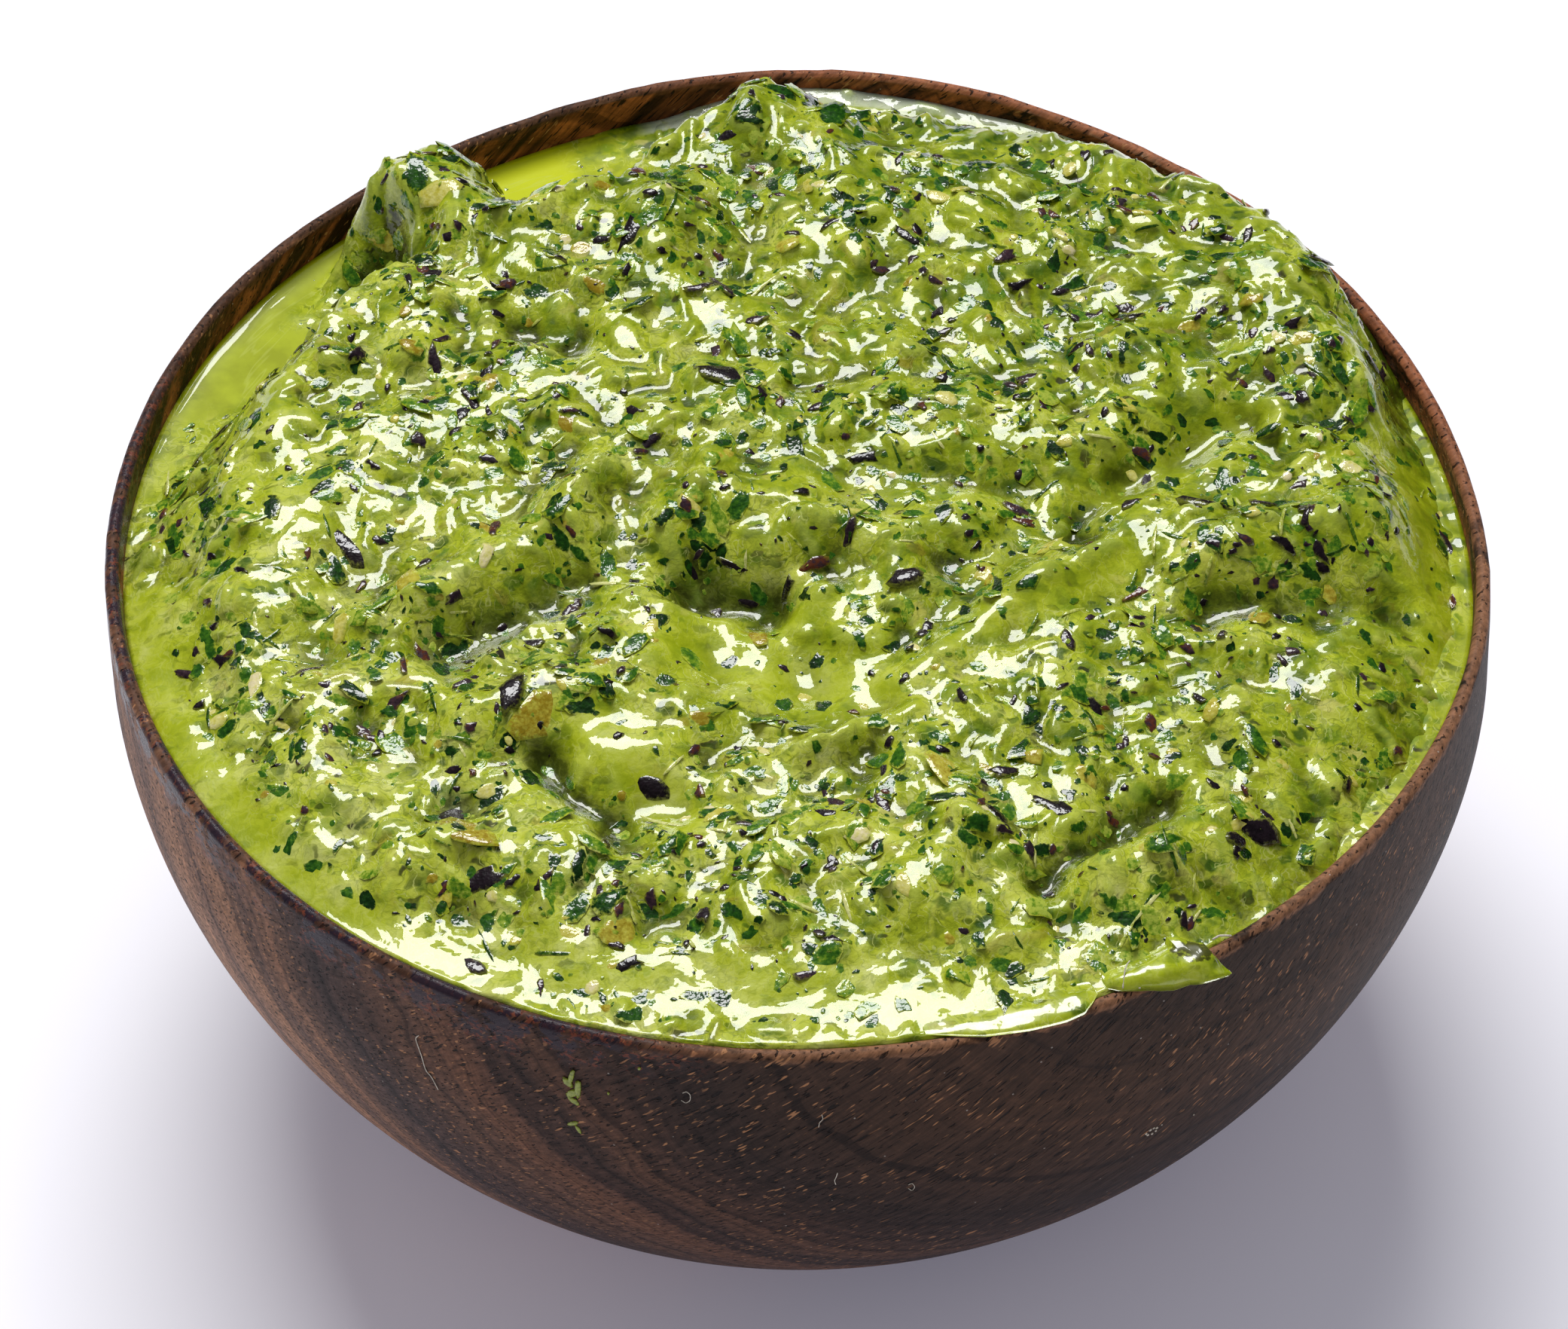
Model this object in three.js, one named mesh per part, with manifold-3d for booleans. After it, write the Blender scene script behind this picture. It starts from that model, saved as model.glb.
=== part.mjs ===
// A small turned wooden bowl heaped with coarse green pesto, with its own oil round the edge.
// Millimetres, +Z up, origin in the middle of the bowl's foot; the far side of the heap is +Y.
import * as THREE from "three";
import { mergeVertices } from "three/addons/utils/BufferGeometryUtils.js";
import Module from "manifold-3d";

const wasm = await Module();
wasm.setup();

// Bowl
const bowlHeight = 53;
const rimRadius = 56;
const footRadius = 23.1;
const bellyDrop = 9.5;
const bellySwell = 0.2;
const outerFullness = 1.76;
const innerFullness = 1.95;
const lipRadius = 54.8;
const lipDrop = 2;
const innerFloorRadius = 17;
const floorThickness = 6;
const lipRound = 0.6;
const bowlSides = 72;
const outerSteps = 7;
const innerSteps = 6;

// The far right of the rim is a little flat: how much, where, and how wide the flat is.
const flatDepth = 1.9;
const flatAngle = THREE.MathUtils.degToRad(32);
const flatSpread = THREE.MathUtils.degToRad(37);
const flatFadeHeight = 20;

// Fit between pieces
const gap = 0.3;

// Heap of pesto: its general level above the rim, higher at the far side and lower at the sides
const heapLevel = 5;
const heapSlope = 0.065;
const heapCrown = 2;
const heapReach = 50;
const heapRings = 28;
const heapSidesPerRing = 6;

// Round the heap, every 30 degrees from +X: where its side falls away, how wide that slope is,
// how far it is domed (1) rather than S-shaped (0), and how far above (or below) the rim the
// pesto meets the wall.
const shoulderRadius = [49.8, 53, 50.5, 48, 41, 46, 47.6, 48.4, 47.6, 47, 48, 49.2];
const shoulderWidth = [8, 3.5, 8, 7.5, 9, 7, 9.5, 12, 13, 14, 12.5, 10.5];
const shoulderDome = [0.5, 0, 0, 0, 0, 0, 0.3, 0.7, 0.9, 0.9, 0.9, 0.8];
const wallLevel = [-3.6, 0.2, -1.6, -5.6, -6.7, -6.1, -3.8, -2.3, -1.1, -0.7, -1, -2.1];

// Crests and lumps as strokes of a spoon: from, to, half width, height.
const strokes = [
  // crest that climbs to the peak at the far rim
  { from: [-25, 22], to: [-12, 30], width: 3.2, height: 1 },
  { from: [-12, 30], to: [-2, 44], width: 3, height: 0.7 },
  { from: [-1.5, 45.5], to: [-0.5, 47], width: 2.4, height: 1.6 },
  // left crest with its small horn
  { from: [-30, -11.5], to: [-18, -3], width: 2.6, height: 1.8 },
  { from: [-17.5, -0.5], to: [-16.5, 1], width: 1.8, height: 2 },
  // brow over the middle hollow
  { from: [-8, -1.5], to: [2, -4.5], width: 3.2, height: 1.8 },
  { from: [6, -6], to: [12, -4], width: 3.2, height: 1 },
  // crest from the middle to the near right
  { from: [21, -9], to: [8, -20.5], width: 2.2, height: 1.5 },
  // right crest above its step
  { from: [46, -3], to: [34, -8], width: 2.8, height: 1.8 },
  // stalk that lies across the near pool
  { from: [0, -27.5], to: [8.5, -23.5], width: 1.1, height: 1.2 },
  // lumps on the near side
  { from: [24, -40], to: [31, -36], width: 3.2, height: 2 },
  { from: [-30, -37], to: [-24, -37], width: 3.4, height: 1.6 },
  { from: [-38, -31], to: [-39, -27], width: 3.4, height: 1.4 },
  { from: [-18, -21], to: [-25, -23], width: 2.8, height: 1.3 },
  { from: [12, -36], to: [8, -41], width: 3, height: 1.1 },
  { from: [-43, -9], to: [-41, -5], width: 3.6, height: 1.4 },
  // saddle that ties the far left lump to the heap
  { from: [-30, 34], to: [-21.5, 33.5], width: 4.2, height: 3.4 },
  // full right shoulder
  { from: [40, 30], to: [46, 14], width: 4, height: 1.2 },
  // skirt of the far left lump
  { from: [-39.5, 30], to: [-36.5, 36.5], width: 3, height: 3.5 },
];

// Hollows, pools and creases: from, to, half width, depth.
const hollows = [
  // middle hollow and the smooth pool that runs out of it
  { from: [-8.5, -9], to: [-2.5, -10.8], width: 2.5, height: -4.2 },
  { from: [-9, -15.5], to: [7, -21.5], width: 4.2, height: -1.7 },
  // dark foot of the left crest
  { from: [-28, -15], to: [-15, -8], width: 2.4, height: -1.3 },
  // dent on the left above the crest
  { from: [-23, 18.5], to: [-19, 17.5], width: 2.1, height: -1.9 },
  // right valley and the foot of the right step
  { from: [37, 8], to: [27, 2], width: 2.5, height: -1.8 },
  { from: [27, 2], to: [22, -4], width: 2.2, height: -1.5 },
  { from: [46, -10.5], to: [32, -13], width: 2.4, height: -1.5 },
  // channel and pit on the near left
  { from: [-20, -27], to: [-14, -35], width: 1.9, height: -2 },
  { from: [-13, -31.5], to: [-10, -32], width: 2.3, height: -1.5 },
  // crease behind the near right lump
  { from: [18, -40], to: [28, -31.5], width: 1.6, height: -2 },
  // valley on the right of the far peak
  { from: [7, 42], to: [16, 44], width: 4, height: -1.4 },
  // flat near edge, level with the rim
  { from: [-20, -46], to: [8, -49.5], width: 4.5, height: -1.3 },
];

// Lump that stands over the far left of the rim, with its curled tips
const leftLump = { centre: [-30.6, 38], radius: 6.6, height: 13, squareness: 3 };
const lumpTips = [
  { from: [-35.2, 39.2], to: [-35.8, 40], width: 1.3, height: 2.8 },
  { from: [-26.2, 39.4], to: [-25.6, 40], width: 1.1, height: 2.4 },
];

// Chopped texture: cell size and height of each grade of unevenness, and how much of it is
// left low on the slopes. All relief fades out over the last millimetres before the wall.
const chopGrades = [
  { size: 7.5, height: 1.7 },
  { size: 3.9, height: 1.3 },
];
const chopOnSlopes = 0.35;
const edgeFade = 3.6;

// Oil: level above the rim at the middle, and its slope toward the near side
const oilLevel = -2.6;
const oilSlope = -0.045;
const oilInnerRadius = 40;
const oilSides = 90;
const oilBed = 0.1;

// Flakes of leaf and olive that lie on the heap
const flakeCount = 62;
const flakeSides = 6;
const flakeReach = 46;
const flakeLength = [1.8, 3.4];
const flakeWidth = [1.1, 1.7];
const flakeThickness = 0.75;
const flakeSink = 0.12;
const flakeTilt = 0.35;
const flakeScatter = 2;
const flakeSpacing = 6.8;
const slopeStep = 1;
const goldenAngle = Math.PI * (3 - Math.sqrt(5));

// The large dark chips: place, length, width and heading in degrees
const chips = [
  { at: [-6, 11.5], length: 5.2, width: 2.6, turn: -12 },
  { at: [-22.8, -22.6], length: 4.6, width: 1.7, turn: 82 },
  { at: [34.6, -35], length: 4.2, width: 2.2, turn: -30 },
  { at: [-12, -30], length: 3.4, width: 1.9, turn: -40 },
  { at: [-24.9, -38.9], length: 4.6, width: 2, turn: 24 },
  { at: [-27.4, -31.9], length: 3.8, width: 2, turn: 18 },
  { at: [19.2, -33.6], length: 4, width: 1.8, turn: -25 },
  { at: [32.7, -3], length: 4.4, width: 1.9, turn: 28 },
  { at: [-13.5, 27.5], length: 4.4, width: 1.8, turn: 62 },
  { at: [-36, -4.5], length: 4, width: 2, turn: -55 },
];

// Lip of pesto that hangs over the rim at the near right: where it starts and ends round the
// bowl, how far it hangs out, and the pointed tip near its end.
const lipStart = THREE.MathUtils.degToRad(-68);
const lipEnd = THREE.MathUtils.degToRad(-55.2);
const lipSteps = 14;
const lipHang = 1.5;
const lipTip = { along: 0.9, width: 0.08, hang: 1.5 };
const lipHeight = 1;
const lipEdgeHeight = 0.4;
const lipHangRows = 3;
const lipSpring = 0.5;
const lipWave = { height: 0.5, radialCell: 2.3, cellsAlong: 6 };
const lipClearance = 0.36;

// Rows of the lip inside the bowl: radius, and depth of the underside below the rim
const lipRoots = [[49.8, 2], [51.8, 1.6], [53.7, 1]];

const colours = { wood: "#5b4034", pesto: "#8d9c2e", oil: "#a3a52b" };

// Repeatable pseudo-random number between 0 and 1 for a whole-numbered cell.
function cellValue(i, j) {
  const wave = Math.sin(i * 127.1 + j * 311.7) * 43758.5453;
  return wave - Math.floor(wave);
}

function smoothStep(t) {
  const s = Math.min(1, Math.max(0, t));
  return s * s * (3 - 2 * s);
}

// Smooth noise between -0.5 and 0.5, one cell per unit.
function smoothNoise(x, y) {
  const i = Math.floor(x);
  const j = Math.floor(y);
  const u = smoothStep(x - i);
  const v = smoothStep(y - j);
  const near = cellValue(i, j) * (1 - u) + cellValue(i + 1, j) * u;
  const far = cellValue(i, j + 1) * (1 - u) + cellValue(i + 1, j + 1) * u;
  return near * (1 - v) + far * v - 0.5;
}

// Value at an angle of a table that goes once round the bowl in equal steps.
function aroundBowl(table, angle) {
  const turn = angle / (2 * Math.PI);
  const place = (turn - Math.floor(turn)) * table.length;
  const first = Math.floor(place) % table.length;
  const next = (first + 1) % table.length;
  const share = smoothStep(place - Math.floor(place));
  return table[first] * (1 - share) + table[next] * share;
}

// Half profile of a bowl wall: a superellipse quarter from the floor out and up to the belly.
function wallPoint(t, floorRadius, wallRadius, floorHeight, bellyHeight, fullness) {
  const angle = (t * Math.PI) / 2;
  const out = Math.pow(Math.sin(angle), 2 / fullness);
  const down = Math.pow(Math.cos(angle), 2 / fullness);
  const radius = floorRadius + (wallRadius - floorRadius) * out;
  return new THREE.Vector2(radius, bellyHeight - (bellyHeight - floorHeight) * down);
}

function outerPoint(t) {
  const bellyRadius = rimRadius + bellySwell;
  return wallPoint(t, footRadius, bellyRadius, 0, bowlHeight - bellyDrop, outerFullness);
}

function innerPoint(t) {
  const wallTop = bowlHeight - lipDrop;
  return wallPoint(t, innerFloorRadius, lipRadius - gap / 2, floorThickness, wallTop, innerFullness);
}

// Radius of the inside of the bowl at a height, along the straight facets between profile points.
function innerRadius(z) {
  for (let k = innerSteps; k > 1; k--) {
    const upper = innerPoint(k / innerSteps);
    const lower = innerPoint((k - 1) / innerSteps);
    if (z >= lower.y) {
      const share = Math.min(1, (z - lower.y) / (upper.y - lower.y));
      return THREE.MathUtils.lerp(lower.x, upper.x, share);
    }
  }
  return innerFloorRadius;
}

// Pushes points in at the flat part of the rim; the effect fades out toward the foot.
function flattenRim(geometry) {
  const position = geometry.attributes.position;
  for (let i = 0; i < position.count; i++) {
    const x = position.getX(i);
    const y = position.getY(i);
    const off = (Math.atan2(y, x) - flatAngle) / flatSpread;
    const fade = smoothStep((position.getZ(i) - flatFadeHeight) / (bowlHeight - flatFadeHeight));
    const scale = 1 - (flatDepth / rimRadius) * Math.exp(-(off ** 4)) * fade;
    position.setXY(i, x * scale, y * scale);
  }
  return geometry;
}

function bowlGeometry() {
  const profile = [new THREE.Vector2(0, 0), new THREE.Vector2(footRadius, 0)];
  for (let k = 1; k <= outerSteps; k++) profile.push(outerPoint(k / outerSteps));
  profile.push(new THREE.Vector2(rimRadius, bowlHeight - lipRound));
  profile.push(new THREE.Vector2(rimRadius - lipRound / 2, bowlHeight));
  profile.push(new THREE.Vector2(lipRadius + lipRound / 2, bowlHeight));
  profile.push(new THREE.Vector2(lipRadius, bowlHeight - lipRound));
  for (let k = innerSteps; k >= 0; k--) profile.push(innerPoint(k / innerSteps));
  profile.push(new THREE.Vector2(0, floorThickness));
  const geometry = new THREE.LatheGeometry(profile, bowlSides);
  geometry.rotateX(Math.PI / 2);
  return flattenRim(geometry);
}

// Distance from a point to the segment between two points.
function segmentDistance(x, y, from, to) {
  const runX = to[0] - from[0];
  const runY = to[1] - from[1];
  const along = ((x - from[0]) * runX + (y - from[1]) * runY) / (runX * runX + runY * runY);
  const t = Math.min(1, Math.max(0, along));
  return Math.hypot(x - from[0] - t * runX, y - from[1] - t * runY);
}

function strokeHeight(stroke, x, y) {
  const distance = segmentDistance(x, y, stroke.from, stroke.to) / stroke.width;
  return stroke.height * Math.exp(-distance * distance);
}

function leftLumpHeight(x, y) {
  const away = Math.hypot(x - leftLump.centre[0], y - leftLump.centre[1]) / leftLump.radius;
  return leftLump.height * Math.exp(-(away ** leftLump.squareness));
}

function oilHeight(x, y) {
  return bowlHeight + oilLevel + oilSlope * y;
}

// Top of the heap: its level falls to the wall across the shoulder, strokes, hollows and the
// chopped texture lie on it, and everything fades out in the last millimetres before the wall.
function heapTop(x, y) {
  const radius = Math.hypot(x, y);
  const angle = Math.atan2(y, x);
  const edge = aroundBowl(wallLevel, angle);
  const shoulder = aroundBowl(shoulderRadius, angle);
  const width = aroundBowl(shoulderWidth, angle);
  const fall = Math.min(1, Math.max(0, (shoulder + width / 2 - radius) / width));
  const dome = aroundBowl(shoulderDome, angle);
  const onTop = smoothStep(fall) * (1 - dome) + (1 - (1 - fall) ** 2) * dome;
  const crown = heapLevel + heapSlope * y - heapCrown * (x / heapReach) ** 2;
  let height = edge + (crown - edge) * onTop;
  let relief = leftLumpHeight(x, y);
  for (const stroke of [...strokes, ...hollows, ...lumpTips]) relief += strokeHeight(stroke, x, y);
  for (const { size, height: tall } of chopGrades) {
    const share = chopOnSlopes + (1 - chopOnSlopes) * onTop;
    relief += tall * share * smoothNoise(x / size + size, y / size);
  }
  height += relief * smoothStep((lipRadius - radius) / edgeFade);
  return bowlHeight + height;
}

// Joins two rings of points by triangles, whatever the number of points in each.
function stitch(faces, outer, inner) {
  let a = 0;
  let b = 0;
  while (a < outer.count || b < inner.count) {
    const nextOuter = (a + 1) / outer.count;
    const nextInner = (b + 1) / inner.count;
    const corner = outer.first + (a % outer.count);
    const hub = inner.first + (b % inner.count);
    if (b >= inner.count || (a < outer.count && nextOuter <= nextInner)) {
      faces.push(corner, outer.first + ((a + 1) % outer.count), hub);
      a++;
    } else {
      faces.push(corner, inner.first + ((b + 1) % inner.count), hub);
      b++;
    }
  }
}

function addRing(points, count, radiusAt, heightAt) {
  const first = points.length / 3;
  for (let k = 0; k < count; k++) {
    const angle = (2 * Math.PI * k) / count;
    const radius = radiusAt(angle);
    const x = radius * Math.cos(angle);
    const y = radius * Math.sin(angle);
    points.push(x, y, heightAt(x, y));
  }
  return { first, count };
}

function geometryFrom(points, faces) {
  const geometry = new THREE.BufferGeometry();
  geometry.setAttribute("position", new THREE.Float32BufferAttribute(points, 3));
  geometry.setIndex(faces);
  return geometry;
}

// The heap's solid: rings of points on its top, and a few rings down the inside of the bowl.
function heapGeometry() {
  const points = [0, 0, heapTop(0, 0)];
  const faces = [];
  let inner = { first: 0, count: 1 };
  for (let ring = 1; ring <= heapRings; ring++) {
    const share = ring / heapRings;
    const radiusAt = (angle) => {
      const edge = bowlHeight + aroundBowl(wallLevel, angle);
      return share * (innerRadius(edge) - gap);
    };
    const outer = addRing(points, heapSidesPerRing * ring, radiusAt, heapTop);
    stitch(faces, outer, inner);
    inner = outer;
  }
  let upper = inner;
  for (let k = innerSteps - 1; k >= 0; k--) {
    const wall = innerPoint(k / innerSteps);
    const sides = k > innerSteps / 2 ? bowlSides : bowlSides / 2;
    const lower = addRing(points, sides, () => wall.x - gap, () => wall.y + gap);
    stitch(faces, lower, upper);
    upper = lower;
  }
  const floor = addRing(points, 1, () => 0, () => floorThickness + gap);
  stitch(faces, floor, upper);
  return geometryFrom(points, faces);
}

function solidFrom(geometry) {
  const bare = geometry.clone();
  bare.deleteAttribute("normal");
  bare.deleteAttribute("uv");
  const merged = mergeVertices(bare, 1e-4);
  return new wasm.Manifold(new wasm.Mesh({
    numProp: 3,
    vertProperties: new Float32Array(merged.attributes.position.array),
    triVerts: new Uint32Array(merged.index.array),
  }));
}

function geometryOf(solid) {
  const mesh = solid.getMesh();
  return geometryFrom(Array.from(mesh.vertProperties), Array.from(mesh.triVerts));
}

// A flake: a six-sided plate, longer than wide, that lies on the heap's slope a little sunk in.
function flakeGeometry(x, y, length, width, turn, unevenness) {
  const plate = new THREE.CylinderGeometry(0.5, 0.5, flakeThickness, flakeSides, 1);
  plate.rotateX(Math.PI / 2);
  plate.scale(length, width, 1);
  const slopeX = (heapTop(x + slopeStep, y) - heapTop(x - slopeStep, y)) / (2 * slopeStep);
  const slopeY = (heapTop(x, y + slopeStep) - heapTop(x, y - slopeStep)) / (2 * slopeStep);
  const tiltX = flakeTilt * (cellValue(unevenness, 5) - 0.5);
  const tiltY = flakeTilt * (cellValue(unevenness, 6) - 0.5);
  const normal = new THREE.Vector3(tiltX - slopeX, tiltY - slopeY, 1).normalize();
  const lean = new THREE.Quaternion().setFromUnitVectors(new THREE.Vector3(0, 0, 1), normal);
  plate.rotateZ(turn);
  plate.applyQuaternion(lean);
  plate.translate(x, y, heapTop(x, y) + flakeThickness / 2 - flakeSink - gap);
  return plate;
}

function isClearOfOil(x, y, size) {
  const margin = gap + flakeThickness;
  for (let k = 0; k < flakeSides; k++) {
    const angle = (2 * Math.PI * k) / flakeSides;
    const cornerX = x + size * Math.cos(angle);
    const cornerY = y + size * Math.sin(angle);
    if (heapTop(cornerX, cornerY) < oilHeight(cornerX, cornerY) + margin) return false;
  }
  return true;
}

// Flakes spread evenly over the heap on a sunflower spiral, with the named chips kept apart.
function flakeSolids() {
  const solids = [];
  for (const [index, chip] of chips.entries()) {
    const turn = THREE.MathUtils.degToRad(chip.turn);
    const plate = flakeGeometry(...chip.at, chip.length, chip.width, turn, index);
    solids.push(solidFrom(plate));
  }
  for (let k = 0; k < flakeCount; k++) {
    const radius = flakeReach * Math.sqrt((k + 0.5) / flakeCount);
    const angle = k * goldenAngle;
    const x = radius * Math.cos(angle) + flakeScatter * (cellValue(k, 1) - 0.5);
    const y = radius * Math.sin(angle) + flakeScatter * (cellValue(k, 2) - 0.5);
    const length = THREE.MathUtils.lerp(...flakeLength, cellValue(k, 3));
    const width = THREE.MathUtils.lerp(...flakeWidth, cellValue(k, 4));
    const isApart = chips.every(({ at }) => Math.hypot(x - at[0], y - at[1]) > flakeSpacing);
    if (isApart && isClearOfOil(x, y, length)) {
      const turn = 2 * Math.PI * cellValue(k, 7);
      solids.push(solidFrom(flakeGeometry(x, y, length, width, turn, k)));
    }
  }
  return solids;
}

// How far the lip reaches from the middle of the bowl, at a share of its length.
function lipReach(along) {
  const swell = Math.sin(Math.PI * Math.min(1, 1.06 * along)) ** 0.6;
  const offTip = (along - lipTip.along) / lipTip.width;
  const tip = lipTip.hang * Math.exp(-offTip * offTip);
  return lipRadius + (rimRadius - lipRadius + lipHang) * swell + tip;
}

// The lip over the rim: a thin wavy tongue rooted in the heap, its rows run round the bowl.
function lipGeometry() {
  const upper = [];
  const lower = [];
  const rows = lipRoots.length + lipHangRows + 1;
  for (let i = 0; i <= lipSteps; i++) {
    const along = i / lipSteps;
    const angle = lipStart + (lipEnd - lipStart) * along;
    const reach = lipReach(along);
    const start = lipRadius - lipSpring;
    for (let j = 0; j < rows; j++) {
      const isRoot = j < lipRoots.length;
      const out = (j - lipRoots.length) / lipHangRows;
      const radius = isRoot ? lipRoots[j][0] : start + (reach - start) * out;
      const wave = lipWave.height * smoothNoise(radius / lipWave.radialCell, lipWave.cellsAlong * along);
      const rise = isRoot ? lipHeight : THREE.MathUtils.lerp(lipHeight, lipEdgeHeight, out);
      const x = radius * Math.cos(angle);
      const y = radius * Math.sin(angle);
      upper.push(x, y, bowlHeight + gap + (j === 0 ? 0 : rise * (1 + wave)));
      lower.push(x, y, bowlHeight + (isRoot ? -lipRoots[j][1] : gap));
    }
  }
  const faces = [];
  const under = upper.length / 3;
  const at = (i, j) => i * rows + j;
  const quad = (a, b, c, d) => faces.push(a, b, c, a, c, d);
  for (let i = 0; i < lipSteps; i++) {
    for (let j = 0; j < rows - 1; j++) {
      quad(at(i, j), at(i, j + 1), at(i + 1, j + 1), at(i + 1, j));
      quad(under + at(i, j), under + at(i + 1, j), under + at(i + 1, j + 1), under + at(i, j + 1));
    }
    quad(at(i, 0), at(i + 1, 0), under + at(i + 1, 0), under + at(i, 0));
    const rim = rows - 1;
    quad(at(i, rim), under + at(i, rim), under + at(i + 1, rim), at(i + 1, rim));
  }
  for (let j = 0; j < rows - 1; j++) {
    quad(at(0, j), under + at(0, j), under + at(0, j + 1), at(0, j + 1));
    const last = lipSteps;
    quad(at(last, j), at(last, j + 1), under + at(last, j + 1), under + at(last, j));
  }
  return geometryFrom([...upper, ...lower], faces);
}

function pestoGeometry() {
  let solid = solidFrom(heapGeometry()).add(solidFrom(lipGeometry()));
  for (const flake of flakeSolids()) solid = solid.add(flake);
  return geometryOf(solid);
}

// The oil: a flat-topped ring inside the wall, with the heap, raised by the gap, cut out of it.
// The largest pieces left are the long ring and the pool between the left lump and the far peak.
function oilGeometries(count) {
  const points = [];
  const faces = [];
  const bedAt = (x, y) => {
    const wall = bowlHeight + aroundBowl(wallLevel, Math.atan2(y, x));
    return Math.min(wall, oilHeight(x, y) - gap) + oilBed;
  };
  const outerAt = (angle) => {
    const edge = bowlHeight + aroundBowl(wallLevel, angle);
    return innerRadius(edge) - gap - oilBed;
  };
  const innerAt = () => oilInnerRadius;
  const topOuter = addRing(points, oilSides, outerAt, oilHeight);
  const topInner = addRing(points, oilSides, innerAt, oilHeight);
  const lowInner = addRing(points, oilSides, innerAt, bedAt);
  const lowOuter = addRing(points, oilSides, outerAt, bedAt);
  stitch(faces, topOuter, topInner);
  stitch(faces, topInner, lowInner);
  stitch(faces, lowInner, lowOuter);
  stitch(faces, lowOuter, topOuter);
  const slab = solidFrom(geometryFrom(points, faces));
  const raised = heapGeometry();
  raised.translate(0, 0, gap);
  let oil = slab.subtract(solidFrom(raised));
  for (const side of [-1, 0, 1]) {
    const lip = lipGeometry();
    lip.rotateZ((side * lipClearance) / rimRadius);
    lip.translate(0, 0, -gap);
    oil = oil.subtract(solidFrom(lip));
  }
  const pieces = oil.decompose();
  pieces.sort((a, b) => b.volume() - a.volume());
  return pieces.slice(0, count).map(geometryOf);
}

function finish(colour, roughness) {
  return new THREE.MeshStandardMaterial({ color: colour, roughness, metalness: 0 });
}

function addMesh(group, name, geometry, material) {
  const mesh = new THREE.Mesh(geometry, material);
  mesh.name = name;
  group.add(mesh);
}

const group = new THREE.Group();
addMesh(group, "bowl", bowlGeometry(), finish(colours.wood, 0.5));
addMesh(group, "pesto", flattenRim(pestoGeometry()), finish(colours.pesto, 0.25));
const oilNames = ["oil_ring", "oil_pool"];
for (const [index, geometry] of oilGeometries(oilNames.length).entries()) {
  addMesh(group, oilNames[index], flattenRim(geometry), finish(colours.oil, 0.08));
}

export default group;
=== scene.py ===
import math

import bpy
import numpy as np
from mathutils import Matrix, Vector


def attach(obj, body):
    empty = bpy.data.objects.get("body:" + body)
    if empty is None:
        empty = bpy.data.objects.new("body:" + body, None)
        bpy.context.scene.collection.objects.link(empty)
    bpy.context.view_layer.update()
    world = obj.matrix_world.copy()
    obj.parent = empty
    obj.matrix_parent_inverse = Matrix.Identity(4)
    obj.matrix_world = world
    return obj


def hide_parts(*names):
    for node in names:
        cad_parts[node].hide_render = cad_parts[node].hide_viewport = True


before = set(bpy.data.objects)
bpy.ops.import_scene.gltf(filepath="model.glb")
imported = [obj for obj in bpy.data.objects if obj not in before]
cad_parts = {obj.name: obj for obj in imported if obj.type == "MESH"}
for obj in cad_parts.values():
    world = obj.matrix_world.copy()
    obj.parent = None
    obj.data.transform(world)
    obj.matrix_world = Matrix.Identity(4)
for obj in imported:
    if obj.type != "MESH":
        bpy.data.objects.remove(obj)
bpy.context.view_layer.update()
print("frame loaded")

mm = 0.001
dice = np.random.default_rng(11)


# camera, floor and light

camera = {
    "place": (0, -0.36737, 0.42108),
    "right": (0.99979028, -0.01259444, -0.01614883),
    "up": (0.02026399, 0.72244686, 0.69112944),
    "back": (0.00296228, -0.69131174, 0.72255056),
    "focalPixels": 8532,
    "imageWidth": 2082,
    "sensorWidth": 36,
}

studio = {
    "windowAim": (0, 0, 0.055),
    "windowTurn": -12,  # degrees from +Y, minus is to the left
    "windowHeight": 61,  # degrees above the floor
    "windowDistance": 1.4,
    "windowSize": (0.82, 0.62),
    "windowPower": 19,
    "skyColour": (0.95, 0.95, 1.0),
    "skyStrength": 0.36,
    "floorColour": (0.88, 0.88, 0.91),
    "floorGlow": (0.085, 0.08, 0.112),
    "floorSize": 4,
}


def linear(red, green, blue):
    # an 8-bit screen colour as the light values that a shader works in
    shares = np.array([red, green, blue], float) / 255
    light = np.where(shares <= 0.04045, shares / 12.92, ((shares + 0.055) / 1.055) ** 2.4)
    return (float(light[0]), float(light[1]), float(light[2]), 1.0)


def setCamera():
    columns = [camera["right"], camera["up"], camera["back"], camera["place"]]
    rows = [[columns[k][axis] for k in range(4)] for axis in range(3)]
    lens = bpy.data.cameras.new("photoCamera")
    lens.sensor_width = camera["sensorWidth"]
    lens.lens = camera["focalPixels"] / camera["imageWidth"] * camera["sensorWidth"]
    lens.clip_start = 0.01
    eye = bpy.data.objects.new("photoCamera", lens)
    bpy.context.scene.collection.objects.link(eye)
    eye.matrix_world = Matrix(rows + [[0, 0, 0, 1]])
    bpy.context.scene.camera = eye


def areaLight(name, turn, height, distance, size, power):
    # a rectangular light at a heading and height above the floor, turned to the bowl
    aim = Vector(studio["windowAim"])
    flat = math.cos(math.radians(height)) * distance
    place = aim + Vector((
        flat * math.sin(math.radians(turn)),
        flat * math.cos(math.radians(turn)),
        math.sin(math.radians(height)) * distance,
    ))
    lamp = bpy.data.lights.new(name, "AREA")
    lamp.shape = "RECTANGLE"
    lamp.size, lamp.size_y = size
    lamp.energy = power
    holder = bpy.data.objects.new(name, lamp)
    bpy.context.scene.collection.objects.link(holder)
    holder.location = place
    holder.rotation_euler = (aim - place).to_track_quat("-Z", "Y").to_euler()


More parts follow.
